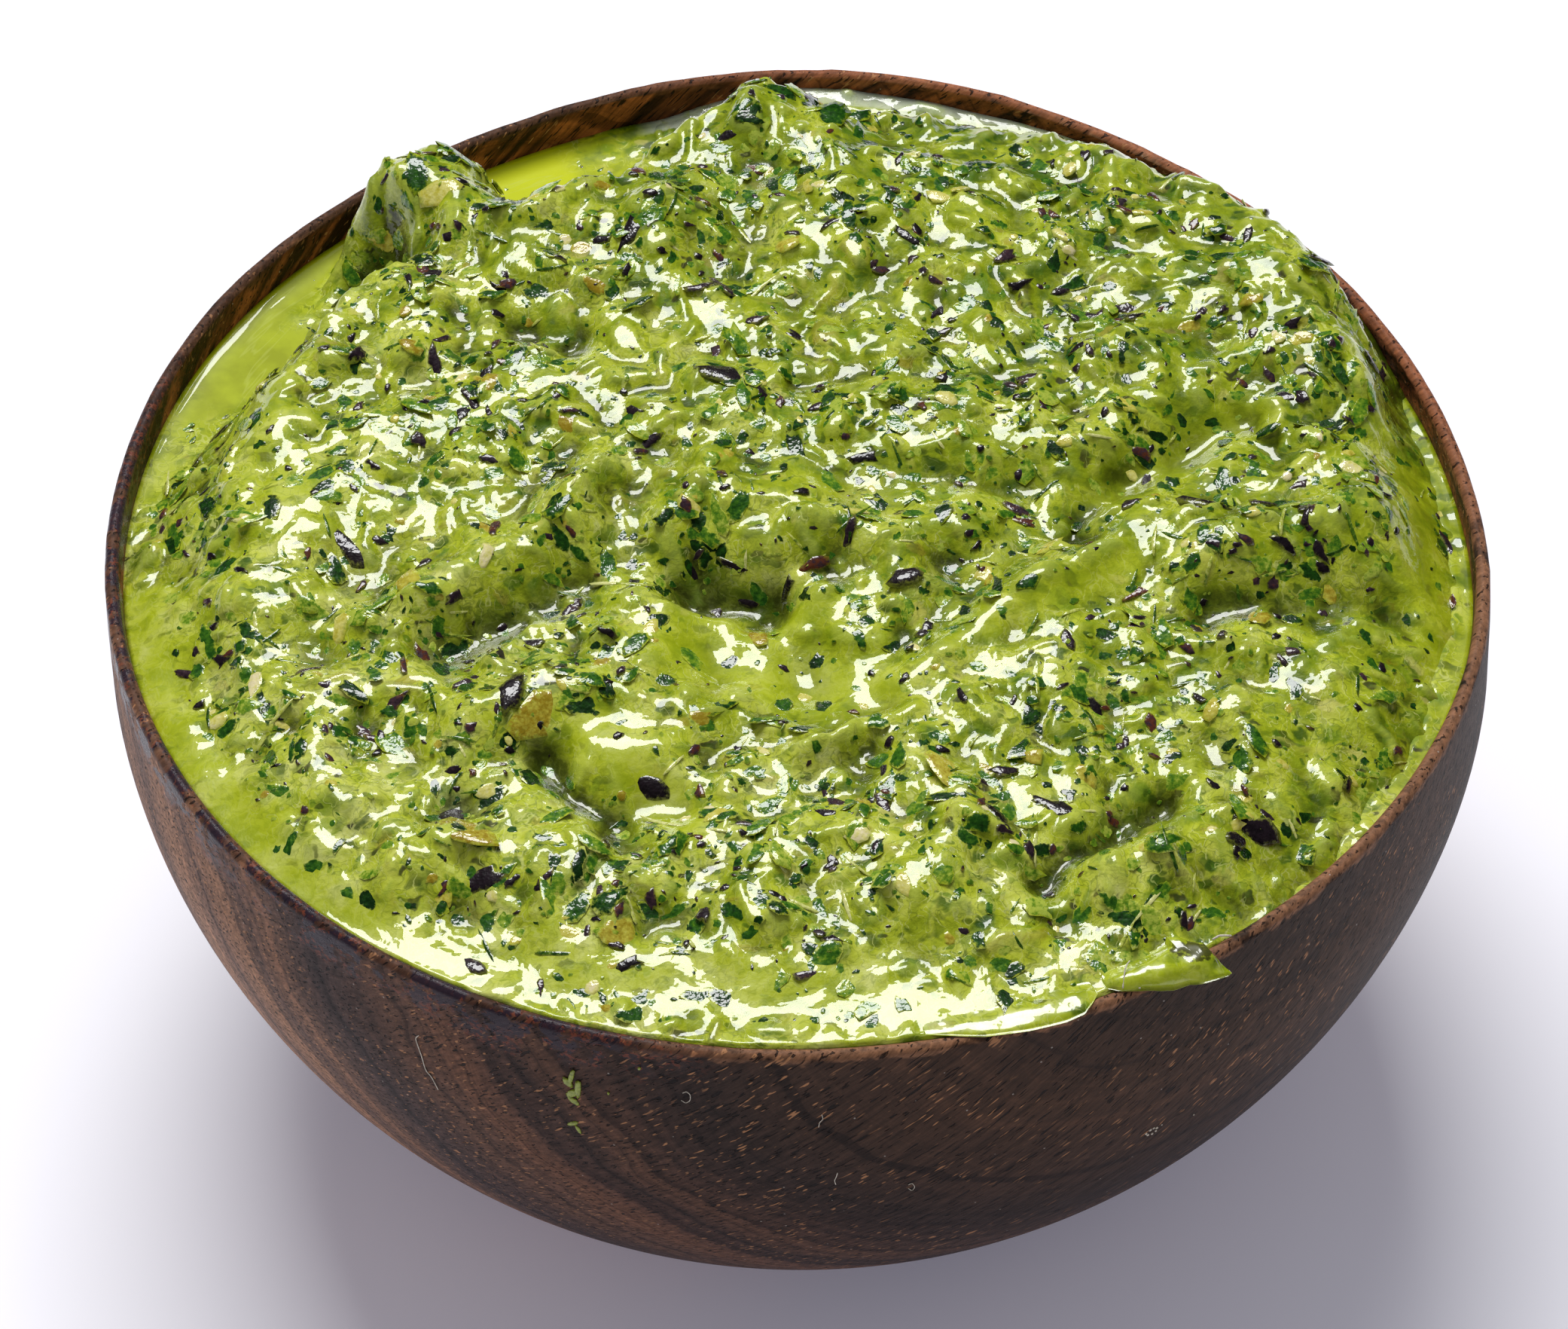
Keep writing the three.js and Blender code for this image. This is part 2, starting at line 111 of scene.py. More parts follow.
def setStudio():
    areaLight(
        "window", studio["windowTurn"], studio["windowHeight"], studio["windowDistance"],
        studio["windowSize"], studio["windowPower"],
    )
    sky = bpy.data.worlds.new("sky")
    sky.use_nodes = True
    backdrop = sky.node_tree.nodes["Background"]
    backdrop.inputs["Color"].default_value = (*studio["skyColour"], 1)
    backdrop.inputs["Strength"].default_value = studio["skyStrength"]
    sky.cycles_visibility.glossy = False  # a dark room behind the camera: no haze on the oil
    bpy.context.scene.world = sky
    bpy.context.scene.view_settings.view_transform = "Standard"


setCamera()
setStudio()
print("camera and light set")


# shaders and meshes


def fill(tree, made, inputs):
    # links or sets each of the inputs
    for name, value in inputs.items():
        if isinstance(value, bpy.types.NodeSocket):
            tree.links.new(value, made.inputs[name])
        else:
            made.inputs[name].default_value = value
    return made


def put(tree, kind, inputs, **options):
    # adds a node with its options and inputs
    made = tree.nodes.new("ShaderNode" + kind)
    for option, value in options.items():
        setattr(made, option, value)
    return fill(tree, made, inputs)


def math2(tree, operation, first, second=0.0, clamp=False):
    return put(tree, "Math", {0: first, 1: second}, operation=operation, use_clamp=clamp).outputs[0]


def times(tree, first, second):
    return math2(tree, "MULTIPLY", first, second)


def plus(tree, first, second, clamp=False):
    return math2(tree, "ADD", first, second, clamp)


def minus(tree, first, second):
    return math2(tree, "SUBTRACT", first, second)


def vector2(tree, operation, first, second=(0, 0, 0)):
    # gives a vector, or the number where the operation makes one
    made = put(tree, "VectorMath", {0: first, 1: second}, operation=operation)
    return made.outputs["Value" if operation in ("LENGTH", "DOT_PRODUCT") else "Vector"]


def part(tree, vector, axis):
    return put(tree, "SeparateXYZ", {0: vector}).outputs[axis]


def ownValue(tree, name):
    # one of the piece's own point values
    return put(tree, "Attribute", {}, attribute_name=name).outputs["Fac"]


def bump(tree, height, strength, distance):
    return put(tree, "Bump", {"Height": height, "Strength": strength, "Distance": distance}).outputs[0]


def fade(tree, value, start, end):
    # 0 at start and 1 at end, smooth in between
    made = put(
        tree, "MapRange", {"Value": value, "From Min": start, "From Max": end},
        interpolation_type="SMOOTHSTEP",
    )
    return made.outputs[0]


def mixColour(tree, share, first, second, blend="MIX"):
    made = put(tree, "Mix", {0: share, 6: first, 7: second}, data_type="RGBA", blend_type=blend)
    return made.outputs[2]


def ramp(tree, value, stops):
    made = put(tree, "ValToRGB", {"Fac": value})
    band = made.color_ramp
    while len(band.elements) < len(stops):
        band.elements.new(0.5)
    for element, (place, colour) in zip(band.elements, stops):
        element.position = place
        element.color = colour
    return made.outputs["Color"]


def noise(tree, vector, scale, detail=2.0, roughness=0.5, output="Fac"):
    made = put(
        tree, "TexNoise",
        {"Vector": vector, "Scale": scale, "Detail": detail, "Roughness": roughness},
    )
    return made.outputs[output]


def mapped(tree, vector, scale=(1, 1, 1), turn=(0, 0, 0), shift=(0, 0, 0)):
    made = put(
        tree, "Mapping",
        {"Vector": vector, "Scale": scale, "Rotation": turn, "Location": shift},
    )
    return made.outputs[0]


def grain(tree, vector, scale, detail=2.0, roughness=0.5, shift=(0, 0, 0), turn=(0, 0, 0)):
    # noise stretched by a scale for each axis
    return noise(tree, mapped(tree, vector, scale, turn, shift), 1.0, detail, roughness)


def newFinish(name):
    finish = bpy.data.materials.new(name)
    finish.use_nodes = True
    tree = finish.node_tree
    shader = tree.nodes["Principled BSDF"]
    place = put(tree, "TexCoord", {}).outputs["Object"]
    millimetres = mapped(tree, place, (1000, 1000, 1000))
    return finish, tree, shader, millimetres


def newPiece(name, points, faceSets, finishes):
    # points in millimetres; each face set is an array with one face a row
    mesh = bpy.data.meshes.new(name)
    points = np.asarray(points, np.float32) * mm
    corners = np.concatenate([np.asarray(faces).ravel() for faces in faceSets])
    sides = np.concatenate([np.full(len(faces), faces.shape[1]) for faces in faceSets])
    starts = np.concatenate([[0], np.cumsum(sides)[:-1]])
    mesh.vertices.add(len(points))
    mesh.vertices.foreach_set("co", points.ravel())
    mesh.loops.add(len(corners))
    mesh.loops.foreach_set("vertex_index", corners.astype(np.int32))
    mesh.polygons.add(len(sides))
    mesh.polygons.foreach_set("loop_start", starts.astype(np.int32))
    mesh.polygons.foreach_set("use_smooth", np.ones(len(sides), bool))
    mesh.update(calc_edges=True)
    mesh.validate()
    for finish in finishes:
        mesh.materials.append(finish)
    piece = bpy.data.objects.new(name, mesh)
    bpy.context.scene.collection.objects.link(piece)
    return piece


def pointValues(piece, name, values):
    layer = piece.data.attributes.new(name, "FLOAT", "POINT")
    layer.data.foreach_set("value", np.asarray(values, np.float32))


def pointColours(piece, name, colours):
    layer = piece.data.attributes.new(name, "FLOAT_COLOR", "POINT")
    layer.data.foreach_set("color", np.asarray(colours, np.float32).ravel())


def gridFaces(rows, columns, closed):
    # quads between the rows of a grid; closed joins the last column to the first
    across = columns if closed else columns - 1
    row, column = np.meshgrid(np.arange(rows - 1), np.arange(across), indexing="ij")
    after = (column + 1) % columns
    here = row * columns
    there = here + columns
    return np.stack([here + column, here + after, there + after, there + column], -1).reshape(-1, 4)


def fan(ring, hub):
    # triangles from each side of a ring of points to the hub
    return np.stack([ring, np.roll(ring, -1), np.full(len(ring), hub)], 1)


def isUpsideDown(points, quads):
    first, second, third = (points[quads[:, k]] for k in range(3))
    return np.cross(second - first, third - first)[:, 2].mean() < 0


def closeSheet(points, faces, drop):
    # gives an open sheet an underside at the drop and walls round its edge
    count = len(points)
    starts = faces.ravel()
    ends = np.roll(faces, -1, axis=1).ravel()
    ahead = starts.astype(np.int64) * count + ends
    behind = ends.astype(np.int64) * count + starts
    rim = ~np.isin(ahead, behind)
    walls = np.stack([ends[rim], starts[rim], starts[rim] + count, ends[rim] + count], -1)
    under = points + drop
    return np.concatenate([points, under]), [faces, faces[:, ::-1] + count, walls]


# the forms that the solids have

bowl = {
    "height": 53, "rimRadius": 56, "footRadius": 23.1,
    "bellyDrop": 9.5, "bellySwell": 0.2, "outerFullness": 1.76,
    "innerFullness": 1.95, "lipRadius": 54.8, "lipDrop": 2, "gap": 0.3,
    "innerFloorRadius": 17, "floorThickness": 6, "lipRound": 0.6,
    "flatDepth": 1.9, "flatAngle": 32, "flatSpread": 37, "flatFadeHeight": 20,
    "rimBulge": [0.3, 0.2, 0.3, 0.85, 0.1, 0.6, 0.3, 0.1, 0, 0, 0, 0.2],  # every 30 degrees from +X
}

heap = {
    "level": 5, "slope": 0.065, "crown": 2, "reach": 50,
    "shoulderRadius": [49.8, 53, 50.5, 48, 41, 46, 49.6, 49.4, 47.6, 47, 48, 49.2],
    "shoulderWidth": [8, 3.5, 8, 7.5, 9, 8, 12, 13, 13, 14, 12.5, 10.5],
    "shoulderDome": [0.5, 0, 0, 0, 0, 0, 0.3, 0.7, 0.9, 0.9, 0.9, 0.8],
    # where it meets the wall, every 15 degrees from +X
    "wallLevel": [
        -3.2, -3.2, -1.0, -1.0, -1.7, -2.2, -1.7, -3.9, -6.7, -6.4, -5.2, -3.8,
        -2.9, -2.3, -1.3, -0.8, -0.25, -0.1, 0.05, 0.1, 0.05, -1.4, -2.4, -3.1,
    ],
    # strokes of the spoon, hollows and tips: from x, y, to x, y, half width, height
    "strokes": [
        (-25, 22, -12, 30, 3.2, 1), (-12, 30, -2, 44, 3, 0.4), (-2, 46.5, -1.5, 48, 2.2, -1.9),
        (3.6, 45.6, 5, 47, 2.6, -2.3), (-5.6, 45.5, -5.2, 48, 2.3, -1.1), (6, 45.5, 22, 44, 5, -1.9),
        (-30, -11.5, -18, -3, 2.6, 1.8), (-17.5, -0.5, -16.5, 1, 1.8, 2),
        (-8, -1.5, 2, -4.5, 3.2, 1.8), (6, -6, 12, -4, 3.2, 1), (21, -9, 8, -20.5, 2.2, 1.5),
        (46, -3, 34, -8, 2.8, 1.8), (0, -27.5, 8.5, -23.5, 1.1, 1.2), (24, -40, 31, -36, 3.2, 2),
        (-30, -37, -24, -37, 3.4, 1.6), (-38, -31, -39, -27, 3.4, 1.4),
        (-18, -21, -25, -23, 2.8, 1.3), (12, -36, 8, -41, 3, 1.1), (-43, -9, -41, -5, 3.6, 1.4),
        (-30, 34, -21.5, 33.5, 4.2, 3.4), (40, 30, 46, 14, 4, 1.2), (-39.5, 30, -36.5, 36.5, 3, 3.5),
        (-8.5, -9, -2.5, -10.8, 2.4, -3.4), (-9, -15.5, 7, -21.5, 4.2, -1.7),
        (-28, -15, -15, -8, 2.4, -1.3), (-23, 18.5, -19, 17.5, 2.1, -1.9),
        (37, 8, 27, 2, 2.5, -1.8), (27, 2, 22, -4, 2.2, -1.5), (46, -10.5, 32, -13, 2.4, -1.5),
        (-12, 46, -8, 50, 3.5, -0.4),
        (-20, -27, -14, -35, 1.9, -2), (-13, -31.5, -10, -32, 2.3, -1.5),
        (18, -40, 28, -31.5, 1.6, -2), (7, 42, 16, 44, 4, -1.4), (-20, -46, 8, -49.5, 4.5, -0.35),
        (-24, 36.5, -18, 36, 3, 1.2),
        (-35.2, 39.2, -35.8, 40, 1.3, 2.8), (-26.2, 39.4, -25.6, 40, 1.1, 2.4),
    ],
    "leftLump": {"x": -30.6, "y": 38, "radius": 6.6, "height": 12.2, "squareness": 3},
    "chop": [(7.5, 1.7), (3.9, 1.3)],
    "chopOnSlopes": 0.35, "edgeFade": 3.6,
}

# the film climbs the far wall a little; climb and reach in millimetres
oil = {"level": -2.6, "slope": -0.025, "dish": 0.00006, "climb": 0.38, "reach": 0.85, "thickness": 0.25}


def cellValue(i, j):
    # repeatable number between 0 and 1 for a whole-numbered cell
    wave = np.sin(i * 127.1 + j * 311.7) * 43758.5453
    return wave - np.floor(wave)


def between(limits, shares):
    return limits[0] + (limits[1] - limits[0]) * shares


def smoothStep(t):
    s = np.clip(t, 0, 1)
    return s * s * (3 - 2 * s)


def smoothNoise(x, y):
    # between -0.5 and 0.5, one cell per unit, smooth steps between the cells' corners
    i = np.floor(x)
    j = np.floor(y)
    u = smoothStep(x - i)
    v = smoothStep(y - j)
    near = cellValue(i, j) * (1 - u) + cellValue(i + 1, j) * u
    far = cellValue(i, j + 1) * (1 - u) + cellValue(i + 1, j + 1) * u
    return near * (1 - v) + far * v - 0.5


def aroundBowl(table, angle):
    # value of a table that goes once round the bowl in equal steps from +X
    table = np.asarray(table, float)
    turn = angle / (2 * np.pi)
    place = (turn - np.floor(turn)) * len(table)
    first = np.floor(place).astype(int) % len(table)
    share = smoothStep(place - np.floor(place))
    return table[first] * (1 - share) + table[(first + 1) % len(table)] * share


def strokeField(x, y, stroke):
    # height times a bell of the distance to the stroke's line
    fromX, fromY, toX, toY, width, height = stroke
    runX, runY = toX - fromX, toY - fromY
    along = np.clip(((x - fromX) * runX + (y - fromY) * runY) / (runX**2 + runY**2), 0, 1)
    away = np.hypot(x - fromX - along * runX, y - fromY - along * runY) / width
    return height * np.exp(-(away**2))


def heapTop(x, y):
    # level that falls to the wall across the shoulder, plus strokes, lump and coarse chop
    radius = np.hypot(x, y)
    angle = np.arctan2(y, x)
    edge = aroundBowl(heap["wallLevel"], angle)
    shoulder = aroundBowl(heap["shoulderRadius"], angle)
    width = aroundBowl(heap["shoulderWidth"], angle)
    fall = np.clip((shoulder + width / 2 - radius) / width, 0, 1)
    dome = aroundBowl(heap["shoulderDome"], angle)
    onTop = smoothStep(fall) * (1 - dome) + (1 - (1 - fall) ** 2) * dome
    crown = heap["level"] + heap["slope"] * y - heap["crown"] * (x / heap["reach"]) ** 2
    height = edge + (crown - edge) * onTop
    lump = heap["leftLump"]
    away = np.hypot(x - lump["x"], y - lump["y"]) / lump["radius"]
    raised = lump["height"] * np.exp(-(away ** lump["squareness"]))
    for stroke in heap["strokes"]:
        raised = raised + strokeField(x, y, stroke)
    share = heap["chopOnSlopes"] + (1 - heap["chopOnSlopes"]) * onTop
    for size, tall in heap["chop"]:
        raised = raised + tall * share * smoothNoise(x / size + size, y / size)
    height = height + raised * smoothStep((bowl["lipRadius"] - radius) / heap["edgeFade"])
    return bowl["height"] + height


def wallRadius(z, floorRadius, bellyRadius, floorHeight, bellyHeight, fullness):
    # superellipse quarter: out to the fullness plus down to the fullness is 1
    down = np.clip((bellyHeight - z) / (bellyHeight - floorHeight), 0, 1)
    return floorRadius + (bellyRadius - floorRadius) * (1 - down**fullness) ** (1 / fullness)


def innerRadius(z):
    top = bowl["height"] - bowl["lipDrop"]
    wall = wallRadius(
        z, bowl["innerFloorRadius"], bowl["lipRadius"] - bowl["gap"] / 2,
        bowl["floorThickness"], top, bowl["innerFullness"],
    )
    lip = np.clip((z - top) / (bowl["lipDrop"] - bowl["lipRound"]), 0, 1)
    return wall + bowl["gap"] / 2 * lip


def outerRadius(z):
    return wallRadius(
        z, bowl["footRadius"], bowl["rimRadius"] + bowl["bellySwell"],
        0, bowl["height"] - bowl["bellyDrop"], bowl["outerFullness"],
    )


def flattenRim(points):
    # The far right of the rim is a little flat and the rest not quite round; both fade out
    # toward the foot.
    points = np.array(points, float)
    angle = np.arctan2(points[:, 1], points[:, 0])
    off = (angle - np.radians(bowl["flatAngle"])) / np.radians(bowl["flatSpread"])
    above = (points[:, 2] - bowl["flatFadeHeight"]) / (bowl["height"] - bowl["flatFadeHeight"])
    grown = aroundBowl(bowl["rimBulge"], angle) - bowl["flatDepth"] * np.exp(-(off**4))
    points[:, :2] *= (1 + grown / bowl["rimRadius"] * smoothStep(above))[:, None]
    return points


def oilHeight(x, y):
    return bowl["height"] + oil["level"] + oil["slope"] * y + oil["dish"] * y**2


def filmClimb(x, y):
    # falls off with the distance from the wall, and toward the front
    away = np.maximum(bowl["lipRadius"] - np.hypot(x, y), 0)
    return oil["climb"] * np.exp(-away / oil["reach"]) * smoothStep(y / 30 + 0.4)


# fine relief of the pesto, as fields over the bowl's opening

field = {"half": 57.0, "step": 0.2}

# grades of chopped bits: cell, half length, half width, height above the film, share of cells
chunkGrades = [
    {"cell": 4.4, "length": (1.4, 2.8), "width": (0.8, 1.6), "height": (0.3, 1.15), "share": 0.75},
    {"cell": 2.3, "length": (0.7, 1.5), "width": (0.35, 0.8), "height": (0.2, 0.7), "share": 0.7},
    {"cell": 3.6, "length": (1.6, 2.9), "width": (0.18, 0.36), "height": (0.25, 0.7), "share": 0.8},
    {"cell": 1.5, "length": (0.4, 1.0), "width": (0.25, 0.5), "height": (0.12, 0.42), "share": 0.6},
]

# warp bends the chunks' outlines; creases are furrows along the level lines of a noise
relief = {
    "warps": [(2.6, 1.5), (0.9, 0.45)], "creases": [(5.2, 0.05, 0.5), (2.7, 0.06, 0.22)],
    "wallFade": 1.3, "climb": (0.45, -0.6), "steepest": 2.2,
    "squareness": 2.6, "steepness": 2.6,  # of a chunk's outline and sides
    "jitter": 0.9, "lean": 0.5,
    "stacked": 0.6,  # share of the lower chunks' height that a higher grade stands on
    "slopeBlur": 0.8, "broadBlur": 3, "calm": 0.85,
    # narrow and wide blur whose difference is the hollow, and the same for the cavity
    "hollow": (0.25, 1.2), "cavity": (0.8, 3.6), "shadingBlur": 0.35,
}

film = {"level": 1.0, "flood": 0.08, "blend": 0.08, "soften": 0.2}

# smooth oily places: from x, y, to x, y, half width, strength
pools = [
    (-9, -15.5, 7, -21.5, 3.8, 0.85), (37, 8, 25, 0, 2.2, 0.8), (-27, -45.5, 12, -52.5, 3.4, 0.65),
    (-17, -25, -9, -33, 2.2, 0.9), (-2, -12.5, 1, -13, 1.6, 0.8), (26, -9, 12, -17, 1.6, 0.6),
    (-2, -1, 6, 1, 1.8, 0.5), (-40, 0, -44, 12, 3, 0.6),
    (-53, -6, -49, -22, 2.4, 0.9), (-49, -22, -39.5, -37, 2.4, 0.9), (-39.5, -37, -28, -46.5, 2.4, 0.8),
    (-13, 47, -4, 51.5, 2, 1), (3, 52, 22, 48.5, 1.8, 1), (51, 5, 50.5, -14, 2, 0.8),
]


def chunkField(x, y, grade, seed):
    # tilted plates with steep sides in jittered cells; the highest one wins and is remembered
    cell = grade["cell"]
    margin = (1 - relief["jitter"]) / 2
    square = relief["squareness"]
    best = np.zeros_like(x)
    owner = np.zeros_like(x)
    for stepI in (-1, 0, 1):
        for stepJ in (-1, 0, 1):
            i = np.floor(x / cell) + stepI
            j = np.floor(y / cell) + stepJ
            pick = [cellValue(i + seed * 17.0 + 5.3 * k, j - 3.7 * k) for k in range(8)]
            offX = x - (i + margin + relief["jitter"] * pick[0]) * cell
            offY = y - (j + margin + relief["jitter"] * pick[1]) * cell
            turn = np.pi * pick[2]
            length, width, height = (
                between(grade[size], pick[k]) for k, size in enumerate(("length", "width", "height"), 3)
            )
            a = (offX * np.cos(turn) + offY * np.sin(turn)) / length
            b = (offY * np.cos(turn) - offX * np.sin(turn)) / width
            away = (np.abs(a) ** square + np.abs(b) ** square) ** (1 / square)
            lean = 1 + relief["lean"] * ((pick[6] - 0.5) * a + (pick[3] - 0.5) * b)
            lift = height * smoothStep((1 - away) * relief["steepness"]) * lean
            lift = np.where(pick[7] < grade["share"], lift, 0)
            wins = lift > best
            best = np.where(wins, lift, best)
            owner = np.where(wins, pick[0] + pick[5], owner)
    return best, owner % 1


def blurField(values, width):
    reach = int(math.ceil(3 * width / field["step"]))
    kernel = np.exp(-((np.arange(-reach, reach + 1) * field["step"] / width) ** 2))
    kernel /= kernel.sum()
    for axis in (0, 1):
        values = np.apply_along_axis(lambda row: np.convolve(row, kernel, mode="same"), axis, values)
    return values


def sampleField(values, x, y):
    # bilinear reading of a field at any place
    count = values.shape[0]
    u = np.clip((np.asarray(x) + field["half"]) / field["step"], 0, count - 1.001)
    v = np.clip((np.asarray(y) + field["half"]) / field["step"], 0, count - 1.001)
    i = u.astype(int)
    j = v.astype(int)
    a = u - i
    b = v - j
    low = values[j, i] * (1 - a) + values[j, i + 1] * a
    high = values[j + 1, i] * (1 - a) + values[j + 1, i + 1] * a
    return low * (1 - b) + high * b


def warpPlaces(x, y, height):
    # moved with the height, so that chunks don't stretch on steep sides; each warp is then its
    # reach times noise of its size, another noise for each direction
    movedX = x + relief["climb"][0] * height
    movedY = y + relief["climb"][1] * height
    for size, reach in relief["warps"]:
        movedX = movedX + reach * smoothNoise(x / size + 11, y / size + 4)
        movedY = movedY + reach * smoothNoise(x / size - 7, y / size + 19)
    return movedX, movedY


def makeFields():
    count = int(round(2 * field["half"] / field["step"])) + 1
    axis = np.linspace(-field["half"], field["half"], count)
    x, y = np.meshgrid(axis, axis)
    radius = np.hypot(x, y)
    wet = np.zeros_like(x)
    for pool in pools:
        wet = np.maximum(wet, strokeField(x, y, pool))
    macro = heapTop(x, y)
    steepY, steepX = np.gradient(blurField(macro, relief["slopeBlur"]), field["step"])
    steep = np.minimum(np.sqrt(1 + steepX**2 + steepY**2), relief["steepest"])
    warpedX, warpedY = warpPlaces(x, y, macro)
    lumps = np.zeros_like(x)
    kind = np.zeros_like(x)
    for k, chunk in enumerate(chunkGrades):
        lift, owner = chunkField(warpedX, warpedY, chunk, k + 1)
        lift = lift + relief["stacked"] * lumps
        wins = lift > lumps
        lumps = np.where(wins, lift, lumps)
        kind = np.where(wins, owner, kind)
    for size, width, depth in relief["creases"]:
        line = smoothNoise(warpedX / size + 31, warpedY / size - 13) / width
        lumps = lumps - depth * np.exp(-(line**2))
    oily = blurField(lumps, film["level"]) + film["flood"]
    surface = 0.5 * (lumps + oily + np.sqrt((lumps - oily) ** 2 + film["blend"] ** 2))
    surface = blurField(surface, film["soften"])
    surface = surface - blurField(surface, relief["broadBlur"])
    calm = 1 - relief["calm"] * smoothStep(wet * 1.4)
    edge = smoothStep((bowl["lipRadius"] + 0.3 - radius) / relief["wallFade"])
    top = macro + surface * steep * calm * edge + filmClimb(x, y)
    stands = smoothStep((lumps - oily + 0.1) / 0.3) * calm
    slopeY, slopeX = np.gradient(blurField(top, relief["shadingBlur"]), field["step"])
    made = {"top": top, "wet": wet, "kind": kind, "stands": stands, "slopeX": slopeX, "slopeY": slopeY}
    for name in ("hollow", "cavity"):
        narrow, wide = relief[name]
        made[name] = blurField(top, wide) - blurField(top, narrow)
    return made


fields = makeFields()
print("relief worked out")


def discGrid(rings):
    # a square grid of 2*rings cells a side bent to a disc of radius 1, evenly spaced
    axis = np.linspace(-1, 1, 2 * rings + 1)
    u, v = np.meshgrid(axis, axis)
    wide = np.abs(u) > np.abs(v)
    safeU = np.where(u == 0, 1, u)
    safeV = np.where(v == 0, 1, v)
    radius = np.where(wide, u, v)
    angle = np.where(wide, np.pi / 4 * v / safeU, np.pi / 2 - np.pi / 4 * u / safeV)
    return radius * np.cos(angle), radius * np.sin(angle)


# bowl

bowlLook = {
    "sides": 300, "wallSteps": 44, "rimSteps": 6, "wear": 0.09,
    "grainTurn": -37.5, "across": (0.88, -0.44),
    "sway": [((0.02, 0.05, 0.05), 2.0, 7), ((0.07, 0.25, 0.25), 3.0, 1.6)],  # scale, detail, reach
    "lineTurn": -0.2, "lineRise": 0.7,  # heading and rise of the fine lines, in radians
    # bands across the grain: place in millimetres, colour
    "bands": [
        (-74, linear(48, 34, 25)), (-67, linear(68, 47, 34)), (-61, linear(60, 42, 32)),
        (-55, linear(48, 35, 30)), (-50, linear(62, 43, 35)), (-47.3, linear(86, 59, 45)),
        (-45, linear(58, 41, 35)), (-43, linear(70, 48, 40)), (-40.6, linear(108, 73, 54)),
        (-37.6, linear(82, 58, 47)), (-36, linear(98, 69, 54)), (-34, linear(74, 53, 45)),
        (-29.6, linear(60, 46, 45)), (-27.2, linear(86, 63, 54)), (-24.4, linear(124, 89, 68)),
        (-22, linear(94, 69, 59)), (-19, linear(154, 112, 83)), (-15, linear(118, 87, 72)),
        (-11, linear(168, 124, 94)), (-6.5, linear(110, 81, 68)), (-2, linear(150, 108, 81)),
        (3, linear(84, 60, 50)), (9, linear(132, 95, 70)), (15, linear(72, 52, 45)),
        (24, linear(118, 83, 61)), (31, linear(66, 46, 40)), (42, linear(96, 68, 50)),
        (56, linear(60, 42, 34)),
    ],
    "insideDark": linear(48, 22, 12), "insideLight": linear(150, 86, 50),
    "rimFar": linear(152, 92, 60), "rimLeft": linear(72, 48, 36), "rimTan": linear(146, 104, 76),
    # the stain is the rim's own dark stain; the colour after it is the varnish's orange-red, used for painted
    # glints at the stain's edge
    "stain": linear(44, 36, 48), "emberGlint": linear(158, 78, 46),
    "pore": linear(18, 11, 9), "glint": linear(186, 132, 90), "dust": linear(200, 190, 180),
    "ringShade": [
        (0.36, (0.42, 0.38, 0.38, 1)), (0.44, (0.9, 0.88, 0.86, 1)), (0.54, (1.06, 1.04, 1.02, 1)),
        (0.64, (1.4, 1.34, 1.28, 1)),
    ],
    "fibreShade": [(0.32, (0.45, 0.45, 0.45, 1)), (0.68, (1.55, 1.5, 1.44, 1))],
    "wornFrom": (54.1, 54.7), "wearFrom": 50.5,  # heights in millimetres
}


